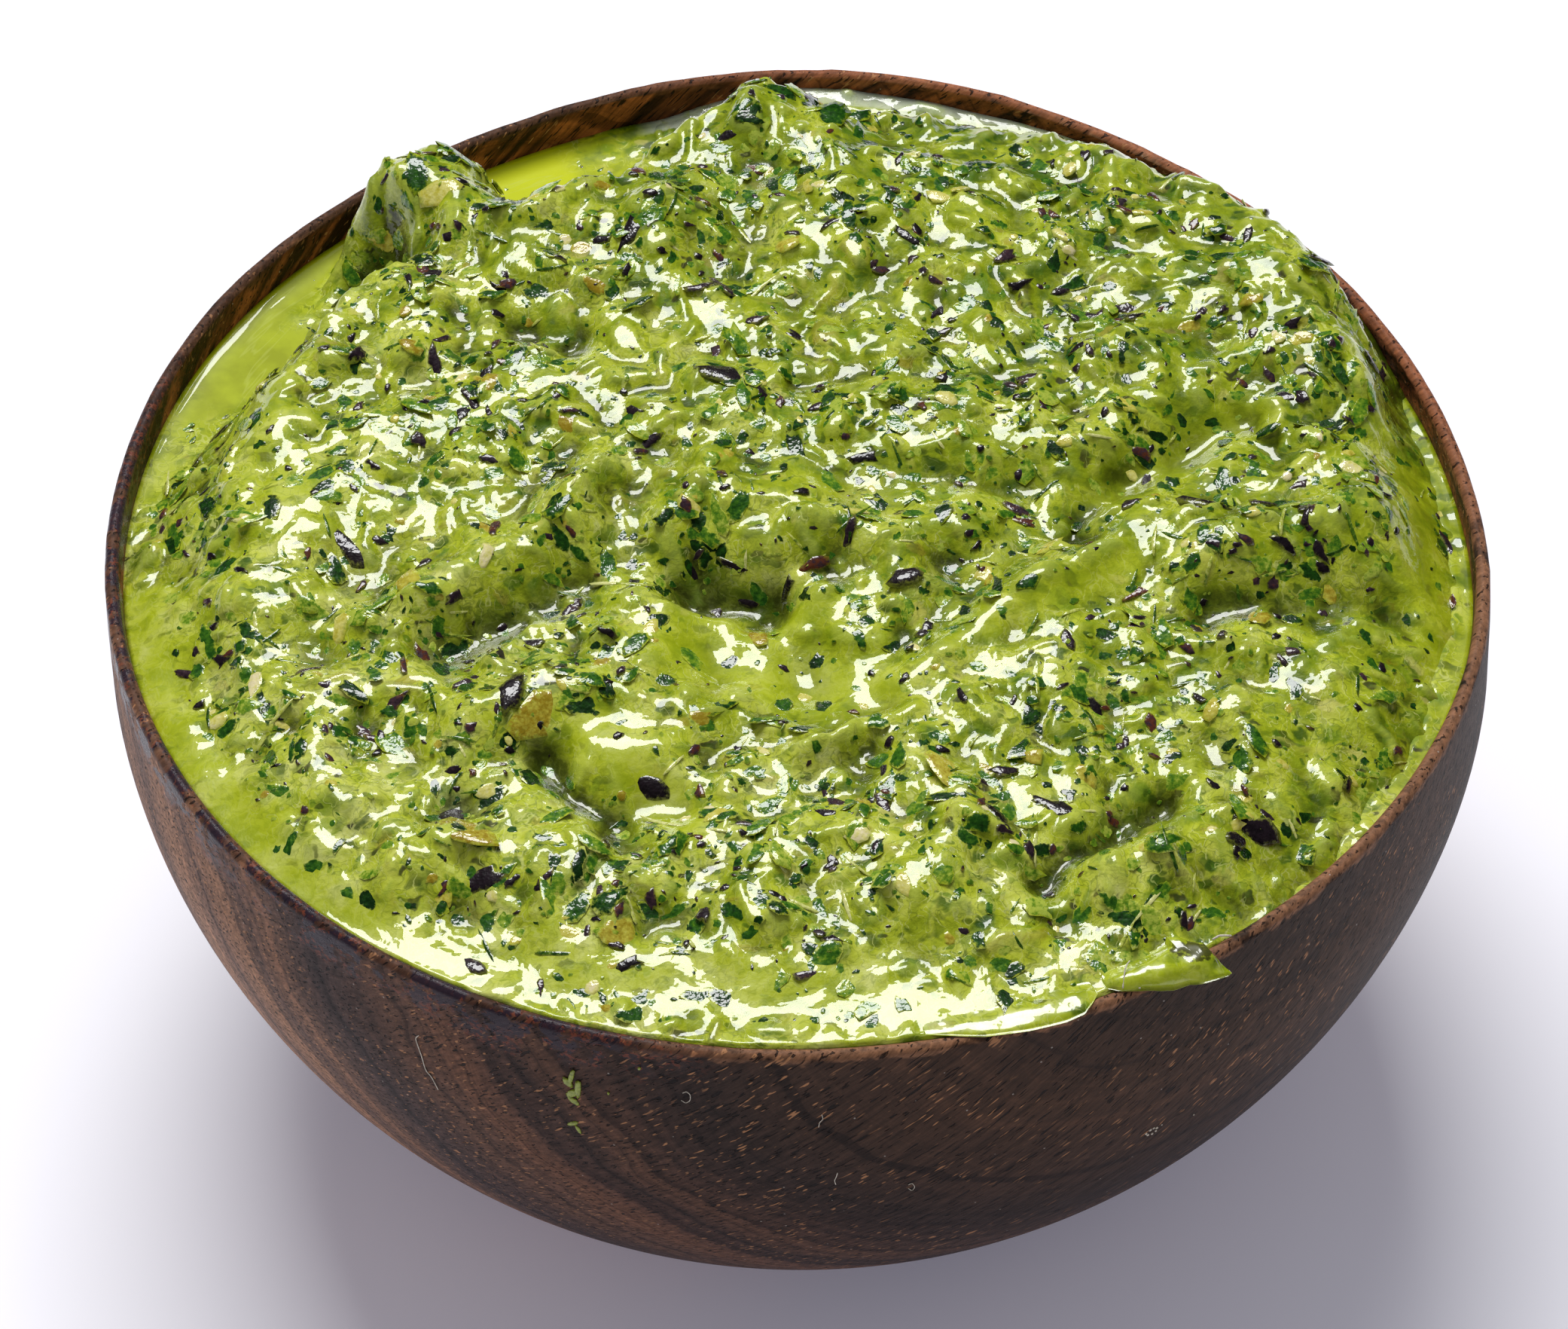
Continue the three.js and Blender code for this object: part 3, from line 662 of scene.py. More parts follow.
def woodFinish(name, inside):
    # Fibres lie level, turned off X. The bands are planes across them, in the order of the list,
    # swayed a little by noise; rings, fibres and pores are noise that is long along the fibres.
    # The rim is worn pale and has a stain at the far left, with the varnish's own orange-red and painted
    # glints along the stain's edge.
    finish, tree, shader, place = newFinish(name)
    turned = mapped(tree, place, turn=(0, 0, math.radians(bowlLook["grainTurn"])))
    lines = mapped(tree, place, turn=(0, 0, bowlLook["lineTurn"]))
    lines = mapped(tree, lines, turn=(0, bowlLook["lineRise"], 0))
    across = plus(
        tree, times(tree, part(tree, turned, "Y"), bowlLook["across"][0]),
        times(tree, part(tree, turned, "Z"), bowlLook["across"][1]),
    )
    for scale, detail, reach in bowlLook["sway"]:
        wave = minus(tree, grain(tree, turned, scale, detail), 0.5)
        across = plus(tree, across, times(tree, wave, reach))
    first, last = bowlLook["bands"][0][0], bowlLook["bands"][-1][0]
    share = math2(tree, "DIVIDE", minus(tree, across, first), last - first, True)
    colour = ramp(tree, share, [((at - first) / (last - first), tone) for at, tone in bowlLook["bands"]])
    rings = put(
        tree, "TexNoise",
        {"W": times(tree, across, 0.75), "Scale": 1.0, "Detail": 5.0, "Roughness": 0.65},
        noise_dimensions="1D",
    ).outputs["Fac"]
    if inside:
        streak = grain(tree, lines, (0.04, 0.1, 0.75), 3.0)
        colour = ramp(tree, streak, [(0.4, bowlLook["insideDark"]), (0.6, bowlLook["insideLight"])])
    colour = mixColour(tree, 0.85, colour, ramp(tree, rings, bowlLook["ringShade"]), "MULTIPLY")

    patch = grain(tree, place, (0.25, 0.25, 0.5), 4.0, 0.65)
    rise = plus(tree, part(tree, place, "Z"), times(tree, patch, 4.0))
    worn = fade(tree, rise, *bowlLook["wornFrom"])
    nearness = fade(tree, part(tree, place, "Y"), 20, -12)
    leftness = fade(tree, part(tree, place, "X"), 4, -22)
    rimColour = mixColour(tree, nearness, bowlLook["rimFar"], bowlLook["rimTan"])
    rimColour = mixColour(tree, leftness, rimColour, bowlLook["rimLeft"])
    colour = mixColour(tree, times(tree, worn, 0.75), colour, rimColour)

    fibres = grain(tree, lines, (0.16, 1.6, 2.6), 4.0, 0.7)
    colour = mixColour(tree, 0.9, colour, ramp(tree, fibres, bowlLook["fibreShade"]), "MULTIPLY")
    hole = fade(tree, grain(tree, lines, (0.6, 2.4, 4.2), 1.0), 0.63, 0.68)
    colour = mixColour(tree, times(tree, hole, 0.85), colour, bowlLook["pore"])
    glints = fade(tree, grain(tree, lines, (0.6, 2.0, 3.8), 1.0, shift=(31, 7, 3)), 0.65, 0.72)
    gather = fade(tree, grain(tree, place, (0.07, 0.07, 0.12), shift=(2, 9, 4)), 0.4, 0.56)
    colour = mixColour(tree, times(tree, times(tree, glints, gather), 0.75), colour, bowlLook["glint"])
    dust = put(tree, "TexVoronoi", {"Vector": place, "Scale": 0.55}).outputs["Distance"]
    colour = mixColour(tree, times(tree, fade(tree, dust, 0.055, 0.03), 0.5), colour, bowlLook["dust"])

    stainReach = times(
        tree, fade(tree, part(tree, place, "X"), -6, -20), fade(tree, part(tree, place, "Y"), 26, 2),
    )
    burnt = grain(tree, place, (0.3, 0.3, 0.4), 4.0, 0.7, shift=(5, 3, 2))
    stain = times(tree, fade(tree, burnt, 0.45, 0.53), fade(tree, rise, 50.6, 53.4))
    stain = times(tree, stain, stainReach)
    # painted glints: bright orange-red flecks at the stain's edge and on the worn rim beside it, the varnish's
    # own colour lit up as painted highlights
    sparks = grain(tree, place, (1.6, 1.6, 2.4), 3.0, 0.65)
    edgeOfStain = times(tree, times(tree, stain, minus(tree, 1.0, stain)), 4.0)
    emberGlint = plus(tree, edgeOfStain, times(tree, times(tree, worn, stainReach), 0.12))
    emberGlint = times(tree, emberGlint, fade(tree, sparks, 0.5, 0.6))
    colour = mixColour(tree, times(tree, stain, 0.9), colour, bowlLook["stain"])
    colour = mixColour(tree, times(tree, emberGlint, 0.4), colour, bowlLook["emberGlint"])

    gloss = minus(tree, minus(tree, 0.66, times(tree, fibres, 0.2)), times(tree, stain, 0.3))
    depth = minus(tree, times(tree, fibres, 0.6), hole)
    fill(tree, shader, {
        "Base Color": colour, "Roughness": gloss, "Normal": bump(tree, depth, 0.9, 0.00016),
        "Specular IOR Level": 0.16,
    })
    return finish


def makeBowl():
    # profile from the foot's centre up the outside, over the rim and down to the floor's centre
    top, roundR, sides = bowl["height"], bowl["lipRound"], bowlLook["sides"]
    quarter = np.linspace(0, np.pi / 2, bowlLook["wallSteps"] + 1)
    bellyZ = top - bowl["bellyDrop"]
    outerZ = bellyZ * (1 - np.cos(quarter) ** (2 / bowl["outerFullness"]))
    outerR = outerRadius(outerZ)
    outerR[0] = bowl["footRadius"]
    upZ = np.linspace(bellyZ, top - roundR, 9)[1:]
    upR = np.linspace(outerR[-1], bowl["rimRadius"], 9)[1:]
    turn = np.linspace(0, np.pi / 2, bowlLook["rimSteps"])[1:]
    overR = bowl["rimRadius"] - roundR + roundR * np.cos(turn)
    overZ = top - roundR + roundR * np.sin(turn)
    backR = bowl["lipRadius"] + roundR - roundR * np.cos(turn[::-1])
    wallTop = top - bowl["lipDrop"]
    innerDepth = (wallTop - bowl["floorThickness"]) * (1 - np.cos(quarter) ** (2 / bowl["innerFullness"]))
    innerZ = wallTop - innerDepth
    profile = np.concatenate([np.stack(rows, 1) for rows in (
        ([bowl["footRadius"] - 0.5], [0.0]), (outerR, outerZ), (upR, upZ), (overR, overZ),
        (backR, overZ[::-1]), ([bowl["lipRadius"]], [top - roundR]), (innerRadius(innerZ), innerZ),
    )])
    angle = np.linspace(0, 2 * np.pi, sides, endpoint=False)
    ring, turnAt = np.meshgrid(np.arange(len(profile)), angle, indexing="ij")
    radius = profile[:, 0][ring]
    height = profile[:, 1][ring]
    # wear: small dents near the rim, faded out at the seam of the angle
    nearRim = smoothStep((height - bowlLook["wearFrom"]) / 2) * bowlLook["wear"]
    dents = smoothNoise(turnAt * 18 + 3, height * 0.6) + 0.6 * smoothNoise(turnAt * 51, height * 1.3)
    dents = dents * smoothStep(np.minimum(turnAt, 2 * np.pi - turnAt) / 0.12)
    radius = radius - nearRim * (0.5 + dents) * (radius > bowl["lipRadius"] + 0.3)
    height = height - nearRim * (0.4 + dents) * (height > top - 0.3)
    points = np.stack([radius * np.cos(turnAt), radius * np.sin(turnAt), height], -1).reshape(-1, 3)
    quads = gridFaces(len(profile), sides, True)
    footHub = len(points)
    points = np.concatenate([points, [(0, 0, 0), (0, 0, bowl["floorThickness"])]])
    first = np.arange(sides)
    footFan = fan(first, footHub)[:, [1, 0, 2]]
    floorFan = fan(first + (len(profile) - 1) * sides, footHub + 1)
    finishes = [woodFinish("walnutOutside", False), woodFinish("walnutInside", True)]
    piece = newPiece("turnedBowl", flattenRim(points), [quads, footFan, floorFan], finishes)
    inner = np.zeros(len(piece.data.polygons), np.int32)
    insideRow = len(outerR) + len(upR) + len(overR) + len(backR)
    inner[: len(quads)] = np.arange(len(quads)) // sides >= insideRow
    inner[len(quads) + sides:] = 1
    piece.data.polygons.foreach_set("material_index", inner)
    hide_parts("bowl")
    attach(piece, "root")


makeBowl()
print("bowl turned")


# pesto

pestoLook = {
    "rings": 153,
    "skirt": (0.3, 0.6, 0.85),  # shares of the way down, where it follows the wall
    "paste": [
        (0.3, linear(92, 114, 4)), (0.42, linear(144, 160, 14)), (0.53, linear(178, 190, 38)),
        (0.64, linear(198, 206, 80)), (0.76, linear(214, 218, 126)),
    ],
    # oily is the oil's own colour; the hollow and cavity colours are painted shade, the ridge colour painted
    # light
    "oily": linear(162, 176, 8), "hollow": linear(50, 58, 2), "ridgeLight": linear(198, 208, 88),
    "cavity": linear(52, 74, 0), "strandDark": linear(42, 78, 6), "strandPale": linear(206, 212, 120),
    # painted reflection: the pale colour of the film on the far wall
    "pale": linear(206, 212, 200),
    "leafDark": linear(16, 52, 8), "leafMid": linear(40, 90, 12), "leafPale": linear(104, 142, 20),
    "olive": linear(34, 24, 28), "nut": linear(218, 212, 118), "skin": linear(146, 122, 12),
    # painted light and shade, partly: how far the paste's tone rises toward the near side and falls toward the
    # right
    "lean": (-0.0011, -0.0017, 0),
    # size, stretch, turn, share of cells, reach, shift, two colours, strength
    "layers": [
        (2.3, 1.6, (0.3, 0.2, 0.4), 0.46, 0.46, (1, 2, 3), ("leafMid", "leafPale"), 0.6),
        (1.6, 1.8, (0.2, 0.5, 1.9), 0.4, 0.44, (9, 4, 6), ("leafDark", "leafMid"), 0.8),
        (0.8, 1.6, (0.6, 0.1, 1.1), 0.35, 0.42, (5, 8, 1), ("leafDark", "leafPale"), 0.75),
        (1.8, 1.5, (0.1, 0.3, 2.6), 0.12, 0.42, (3, 7, 2), ("nut", "skin"), 0.55),
        (1.1, 1.8, (0.4, 0.4, 0.9), 0.08, 0.40, (6, 1, 8), ("olive", "olive"), 0.85),
    ],
    # scale, turn, width, colour, strength
    "strands": [
        ((0.35, 0.9, 0.9), (0.3, 0.2, 0.9), 0.03, "strandDark", 0.38),
        ((0.9, 0.4, 0.9), (0.1, 0.5, 0.4), 0.022, "strandPale", 0.65),
        ((1.3, 0.6, 1.3), (0.7, 0.1, 2.2), 0.03, "strandDark", 0.3),
    ],
    "waveScale": 0.5, "waveStrength": 0.3, "waveDepth": 0.0004,
    "film": {"Coat Weight": 1.0, "Coat Roughness": 0.03, "Coat IOR": 1.54},
    # colours of the chunks by their own random value
    "chunks": [
        (0.0, linear(22, 66, 14)), (0.2, linear(42, 92, 18)), (0.36, linear(84, 126, 20)),
        (0.5, linear(130, 152, 22)), (0.72, linear(164, 178, 44)), (0.86, linear(188, 190, 84)),
        (0.92, linear(140, 120, 26)), (0.96, linear(46, 32, 38)), (1.0, linear(36, 26, 32)),
    ],
}


def flushBits(tree, place, size, stretch, turn, share, reach, shift):
    # cells of a warped lattice; a random share of them hold a bit round the cell's point
    scale = (1 / (size * stretch), 1 / size, 1 / size)
    cells = put(tree, "TexVoronoi", {"Vector": mapped(tree, place, scale, turn, shift), "Scale": 1.0})
    picks = put(tree, "SeparateColor", {0: cells.outputs["Color"]})
    body = fade(tree, cells.outputs["Distance"], reach, reach * 0.6)
    chosen = math2(tree, "LESS_THAN", picks.outputs[0], share)
    return times(tree, body, chosen), picks.outputs[1]


def pasteColour(tree, place, dry, layers=True):
    # Tones of noise, then layers of leaf, olive and nut bits in cells, thick where a slow noise
    # gathers them; returns the colour and the warped places.
    warp = vector2(tree, "SUBTRACT", noise(tree, place, 0.55, output="Color"), (0.5, 0.5, 0.5))
    flow = vector2(tree, "ADD", place, vector2(tree, "MULTIPLY", warp, (2.6, 2.6, 2.6)))
    # partly painted light and shade: lighter and yellower toward the near side, where the paste is oilier and
    # the light weaker, and darker toward the right, where it is leafier and in shade
    lean = vector2(tree, "DOT_PRODUCT", place, pestoLook["lean"])
    tone = plus(tree, noise(tree, flow, 0.28, 6.0, 0.6), lean)
    colour = ramp(tree, tone, pestoLook["paste"])
    crowd = grain(tree, place, (0.22, 0.22, 0.22), shift=(8, 8, 8))
    crowded = plus(tree, times(tree, fade(tree, crowd, 0.4, 0.56), 0.6), 0.4)
    for size, stretch, turn, share, reach, shift, names, strength in pestoLook["layers"] if layers else []:
        body, pick = flushBits(tree, flow, size, stretch, turn, share, reach, shift)
        shown = times(tree, times(tree, body, strength), dry)
        if names[0].startswith("leaf"):
            shown = times(tree, shown, crowded)
        bitColour = mixColour(tree, pick, pestoLook[names[0]], pestoLook[names[1]])
        colour = mixColour(tree, shown, colour, bitColour)
    # painted reflection: the film that climbs the far wall is painted pale, as the bright room behind the bowl
    # reflected in it
    radius = vector2(tree, "LENGTH", vector2(tree, "MULTIPLY", place, (1, 1, 0)))
    ragged = plus(tree, radius, times(tree, tone, 1.6))
    farness = fade(tree, part(tree, place, "Y"), 34, 42)
    farness = times(tree, farness, fade(tree, part(tree, place, "X"), -14, -11))
    pale = times(tree, fade(tree, ragged, 54.2, 54.7), times(tree, farness, 0.8))
    colour = mixColour(tree, pale, colour, pestoLook["pale"])
    for scale, turn, width, name, strength in pestoLook["strands"]:
        line = math2(tree, "ABSOLUTE", minus(tree, grain(tree, flow, scale, 1.0, turn=turn), 0.5))
        shown = times(tree, fade(tree, line, width, width * 0.3), times(tree, dry, strength))
        shown = times(tree, shown, fade(tree, tone, 0.4, 0.52))
        colour = mixColour(tree, shown, colour, pestoLook[name])
    return colour, flow


def filmBump(tree, flow, dry, veins=0.0):
    # wavelets about a millimetre long that break the film's reflections, and veins under it
    waves = noise(tree, flow, pestoLook["waveScale"])
    height = plus(tree, times(tree, veins, 0.5), times(tree, waves, dry))
    return bump(tree, height, pestoLook["waveStrength"], pestoLook["waveDepth"])


def pestoFinish():
    # The paste's colour, with painted light on ridges and painted shade in hollows and cavities, and the
    # chunks' own colours, under a clear oily coat that follows the fine bits less than the body does.
    finish, tree, shader, place = newFinish("pestoPaste")
    bits = put(tree, "Attribute", {}, attribute_name="bits")
    wet = ownValue(tree, "wet")
    depth = ownValue(tree, "hollow")
    dry = minus(tree, 1.0, times(tree, wet, 0.6))
    colour, flow = pasteColour(tree, place, dry)
    patchy = fade(tree, noise(tree, flow, 0.8, 3.0, 0.6), 0.62, 0.4)
    patchy = plus(tree, times(tree, patchy, 0.6), 0.4)
    # painted shade: the fine hollows and the cavities are painted darker
    hollowShade = times(tree, fade(tree, depth, 0.02, 0.3), times(tree, dry, 0.9))
    shaded = times(tree, fade(tree, ownValue(tree, "cavity"), 0.05, 1.1), times(tree, dry, 0.7))
    for share, tint in (
        (times(tree, bits.outputs["Alpha"], 0.5), bits.outputs["Color"]),
        (shaded, pestoLook["cavity"]),
        # painted light: the ridges are painted lighter
        (times(tree, fade(tree, depth, -0.03, -0.3), 0.35), pestoLook["ridgeLight"]),
        (times(tree, wet, 0.5), pestoLook["oily"]),
        (times(tree, hollowShade, patchy), pestoLook["hollow"]),
    ):
        colour = mixColour(tree, share, colour, tint)
    fine = times(tree, times(tree, noise(tree, place, 1.2, 3.0, 0.55), dry), 0.6)
    fill(tree, shader, {
        "Base Color": colour, "Normal": bump(tree, fine, 0.7, 0.0003), "Roughness": 0.42,
        "Coat Normal": filmBump(tree, flow, dry), "Specular IOR Level": 0.2, **pestoLook["film"],
    })
    return finish


def heapBits(x, y):
    # colour and share of the bit that stands highest at each point
    kind = sampleField(fields["kind"], x, y)
    stands = sampleField(fields["stands"], x, y)
    places, tones = zip(*pestoLook["chunks"])
    colours = np.stack([np.interp(kind, places, [tone[k] for tone in tones]) for k in range(3)], -1)
    return np.concatenate([colours, stands[:, None]], 1)


def makeHeap():
    # the disc grid laid on the field, a skirt down the wall and a floor that closes it
    unitX, unitY = discGrid(pestoLook["rings"])
    side = unitX.shape[0]
    angle = np.arctan2(unitY, unitX)
    edge = bowl["height"] + aroundBowl(heap["wallLevel"], angle)
    reach = innerRadius(edge) + 0.02
    x = (unitX * reach).ravel()
    y = (unitY * reach).ravel()
    z = sampleField(fields["top"], x, y)
    points = np.stack([x, y, z], 1)
    quads = gridFaces(side, side, False)
    index = np.arange(side * side).reshape(side, side)
    rim = np.concatenate([index[0, :-1], index[:-1, -1], index[-1, :0:-1], index[:0:-1, 0]])
    rimAngle = np.arctan2(y[rim], x[rim])
    rings = [rim]
    for depth in pestoLook["skirt"]:
        level = z[rim] * (1 - depth) + (bowl["floorThickness"] + 2) * depth
        radius = innerRadius(level) - 0.1
        ring = np.stack([radius * np.cos(rimAngle), radius * np.sin(rimAngle), level], 1)
        rings.append(len(points) + np.arange(len(rim)))
        points = np.concatenate([points, ring])
    hub = len(points)
    points = np.concatenate([points, [(0, 0, bowl["floorThickness"] + 0.1)]])
    walls = []
    for upper, lower in zip(rings[:-1], rings[1:]):
        walls.append(np.stack([upper, lower, np.roll(lower, -1), np.roll(upper, -1)], 1))
    base = fan(rings[-1], hub)[:, [0, 2, 1]]
    piece = newPiece("pestoHeap", flattenRim(points), [quads, np.concatenate(walls), base], [pestoFinish()])
    pointColours(piece, "bits", heapBits(points[:, 0], points[:, 1]))
    pointValues(piece, "wet", np.clip(sampleField(fields["wet"], points[:, 0], points[:, 1]), 0, 1))
    for name in ("hollow", "cavity"):
        pointValues(piece, name, sampleField(fields[name], points[:, 0], points[:, 1]))
    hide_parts("pesto")
    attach(piece, "root")


makeHeap()
print("pesto heaped")


# bits that lie on the heap

bitKinds = {
    # size ranges in millimetres; tilt and bend are shares; lift is how far the top stands out;
    # soft is how far the paste covers a bit's edge
    "leafBits": {
        "count": 1900, "length": (0.8, 3.4), "width": (0.5, 1.9), "thick": (0.15, 0.35), "uneven": 0.8,
        "tilt": 0.3, "bend": 0.25, "lift": (0.02, 0.13), "sides": 9, "rings": 3, "film": 0.75, "soft": 0.95,
    },
    "leafFlecks": {
        "count": 2200, "length": (0.3, 1.0), "width": (0.2, 0.6), "thick": (0.08, 0.2), "uneven": 0.7,
        "tilt": 0.3, "bend": 0.1, "lift": (0.02, 0.1), "sides": 6, "rings": 2, "film": 0.75, "soft": 0.6,
    },
    "leafShreds": {
        "count": 420, "length": (1.4, 4.2), "width": (0.14, 0.4), "thick": (0.1, 0.2), "uneven": 0.4,
        "tilt": 0.3, "bend": 0.3, "lift": (0.03, 0.12), "sides": 8, "rings": 2, "film": 0.6, "soft": 0.3,
        "curl": 0.5,
    },
    "oliveChips": {
        "count": 440, "length": (0.8, 2.8), "width": (0.4, 1.2), "thick": (0.25, 0.5), "uneven": 1.0,
        "tilt": 0.4, "bend": 0.2, "lift": (0.08, 0.28), "sides": 9, "rings": 3, "film": 0.4, "soft": 0.35,
    },
    "oliveFlecks": {
        "count": 500, "length": (0.3, 0.9), "width": (0.15, 0.4), "thick": (0.1, 0.25), "uneven": 0.6,
        "tilt": 0.4, "bend": 0.1, "lift": (0.03, 0.12), "sides": 5, "rings": 2, "film": 0.6, "soft": 0.3,
    },
    "nutBits": {
        "count": 170, "length": (0.9, 2.8), "width": (0.6, 1.7), "thick": (0.3, 0.6), "uneven": 0.6,
        "tilt": 0.4, "bend": 0.1, "lift": (0.05, 0.22), "sides": 8, "rings": 3, "film": 0.6, "soft": 0.7,
    },
}

# bits that the eye finds again: x, y, length, width, heading in degrees, thickness, lift, tone
placedBits = {
    "oliveChips": [
        (-6, 11.5, 5.2, 2.6, -12, 0.9, 0.35, 0.2), (-22.8, -22.6, 4.6, 1.7, 82, 0.8, 0.3, 0.15),
        (34.6, -35, 4.2, 2.2, -30, 0.85, 0.3, 0.2), (-12, -30, 3.4, 1.9, -40, 0.8, 0.3, 0.1),
        (-24.9, -38.9, 4.6, 2, 24, 0.8, 0.3, 0.25), (-27.4, -31.9, 3.8, 2, 18, 0.8, 0.3, 0.2),
        (19.2, -33.6, 4, 1.8, -25, 0.8, 0.3, 0.2), (32.7, -3, 4.4, 1.9, 28, 0.85, 0.32, 0.3),
        (-13.5, 27.5, 4.4, 1.8, 62, 0.8, 0.3, 0.15), (-36, -4.5, 4, 2, -55, 0.8, 0.3, 0.2),
        (-34.6, 39.6, 2.6, 1.5, 30, 0.7, 0.4, 0.75), (32.9, -36.4, 2.4, 1.4, 20, 0.7, 0.3, 0.15),
        (-8.6, -7.2, 4.2, 1.1, -58, 0.5, 0.12, 0.1), (-5.4, -7.4, 2.8, 0.9, -48, 0.5, 0.14, 0.15),
        (-4.4, -9.4, 2.2, 0.8, -35, 0.5, 0.14, 0.2), (1, -8.2, 2.6, 1.2, 35, 0.7, 0.3, 0.95),
        (8.2, -10.6, 3, 2, 10, 0.9, 0.4, 0.3), (-1.2, -9.6, 2.6, 0.8, 42, 0.5, 0.16, 0.1),
    ],
    "nutBits": [
        (-14.5, -44.5, 3.6, 2.5, 8, 0.5, 0.16, 0.22), (-31.2, -9.5, 2.8, 2.2, 30, 0.6, 0.25, 0.3),
        (-36.5, -13, 2.6, 1.8, 60, 0.7, 0.3, 0.5),
        (-43.2, -17.5, 3, 1.3, 75, 0.6, 0.25, 0.95), (-25, -8, 2.6, 1.2, 80, 0.6, 0.25, 0.9),
        (-20.4, -23.9, 6.2, 4, 20, 0.35, 0.1, 0.12), (-26.1, -35.1, 5.4, 3.2, -35, 0.35, 0.1, 0.1),
        (-29.6, 33.2, 4.4, 2.2, 15, 0.5, 0.2, 0.55), (-34.2, 33.4, 3.4, 2, -20, 0.5, 0.2, 0.3),
        (11, -30.5, 5, 3.2, -15, 0.35, 0.1, 0.3),
    ],
    "leafBits": [
        (-28.2, 39, 4.6, 2.6, 10, 0.35, 0.25, 0.62), (-25.4, 40.6, 3.2, 1.1, 42, 0.3, 0.5, 0.98),
        (-31.4, 35.4, 3.8, 2.2, -70, 0.3, 0.18, 0.3), (3.4, 41.5, 4.2, 2.2, 80, 0.3, 0.2, 0.3),
        (46.8, 8.6, 3.6, 1.5, 60, 0.35, 0.3, 0.7),
    ],
}


def scatterPlaces(count, reach):
    # random places over the disc, fewer where it is smooth, fewest where the oil covers it, and
    # more on steep sides, which hold more surface
    tries = count * 6
    radius = reach * np.sqrt(dice.random(tries))
    angle = dice.random(tries) * 2 * np.pi
    x = radius * np.cos(angle)
    y = radius * np.sin(angle)
    above = sampleField(fields["top"], x, y) - oilHeight(x, y)
    wet = sampleField(fields["wet"], x, y)
    slope = np.hypot(sampleField(fields["slopeX"], x, y), sampleField(fields["slopeY"], x, y))
    crowd = 0.3 + 0.7 * smoothStep((smoothNoise(x / 4.5 + 3, y / 4.5) + 0.15) / 0.3)
    chance = crowd * np.where(above > 0.1, 1 - 0.8 * wet, np.where(above > -1.0, 0.45, 0.03))
    chance = chance * np.minimum(np.sqrt(1 + slope**2), 2.6) / 2.6
    keep = dice.random(tries) < chance
    return x[keep][:count], y[keep][:count]


def bitPoints(kind, x, y, length, width, thick, turn, lift):
    # Pebble of two or three rings and two hubs for each bit: outline of a circle with two to five
    # waves, bent along its length, turned to the heading and laid on the heap's slope.
    count = len(x)
    sides = kind["sides"]
    around = np.arange(sides) / sides * 2 * np.pi
    rings = [(0.8, -0.5), (1.0, 0.1), (0.7, 0.42)] if kind["rings"] == 3 else [(0.9, -0.5), (0.95, 0.35)]
    uneven = np.ones((count, sides))
    for wave in (2, 3, 4, 5):
        swing = kind["uneven"] * (dice.random((count, 1)) - 0.5) * 1.6 / wave
        uneven = uneven + swing * np.cos(wave * around + 6.3 * dice.random((count, 1)))
    local = []
    for share, level in rings:
        wobble = uneven * share * (0.95 + 0.1 * dice.random((count, sides)))
        rise = level + 0.2 * (dice.random((count, sides)) - 0.5)
        local.append(np.stack([0.5 * wobble * np.cos(around), 0.5 * wobble * np.sin(around), rise], -1))
    zero = np.zeros((count, 1))
    for level in (-0.55, 0.5):
        local.append(np.stack([zero, zero, zero + level], -1))
    local = np.concatenate(local, 1)
    bend = kind["bend"] * (dice.random((count, 1)) - 0.3)
    curl = kind.get("curl", 0) * (dice.random((count, 1)) - 0.5)
    along = local[:, :, 0] * length[:, None]
    across = local[:, :, 1] * width[:, None] * (1 + 0.5 * local[:, :, 0]) + curl * along**2 / length[:, None]
    up = local[:, :, 2] * thick[:, None] - bend * along**2 / length[:, None]
    tiltX = kind["tilt"] * (dice.random(count) - 0.5) - sampleField(fields["slopeX"], x, y)
    tiltY = kind["tilt"] * (dice.random(count) - 0.5) - sampleField(fields["slopeY"], x, y)
    normal = np.stack([tiltX, tiltY, np.ones(count)], 1)
    normal /= np.linalg.norm(normal, axis=1)[:, None]
    heading = np.stack([np.cos(turn), np.sin(turn), np.zeros(count)], 1)
    side = np.cross(normal, heading)
    side /= np.linalg.norm(side, axis=1)[:, None]
    heading = np.cross(side, normal)
    centre = np.stack([x, y, np.maximum(sampleField(fields["top"], x, y), oilHeight(x, y))], 1)
    centre = centre + (lift - 0.5 * thick)[:, None] * normal
    return (
        centre[:, None] + along[..., None] * heading[:, None]
        + across[..., None] * side[:, None] + up[..., None] * normal[:, None]
    )


def bitFaces(count, sides, rings):
    low = rings * sides
    ring = np.arange(sides)
    caps = np.concatenate([fan(ring, low)[:, [1, 0, 2]], fan(ring + low - sides, low + 1)])
    offset = (np.arange(count) * (low + 2))[:, None, None]
    allQuads = (gridFaces(rings, sides, True)[None] + offset).reshape(-1, 4)
    return [allQuads, (caps[None] + offset).reshape(-1, 3)]


def filmNormals(piece, points, share):
    # shading normals drawn toward the film's, so the gloss runs on from the paste over a bit
    own = np.empty(len(points) * 3, np.float32)
    piece.data.vertex_normals.foreach_get("vector", own)
    own = own.reshape(-1, 3)
    x, y = points[:, 0], points[:, 1]
    dry = sampleField(fields["top"], x, y) > oilHeight(x, y)
    slopeX = sampleField(fields["slopeX"], x, y) * dry
    slopeY = sampleField(fields["slopeY"], x, y) * dry
    flat = np.stack([-slopeX, -slopeY, np.ones(len(points))], 1)
    flat /= np.linalg.norm(flat, axis=1)[:, None]
    share = np.where(dry, share, 0.96)[:, None]
    mixed = own * (1 - share) + flat * share
    mixed /= np.linalg.norm(mixed, axis=1)[:, None]
    piece.data.normals_split_custom_set_from_vertices(mixed.tolist())


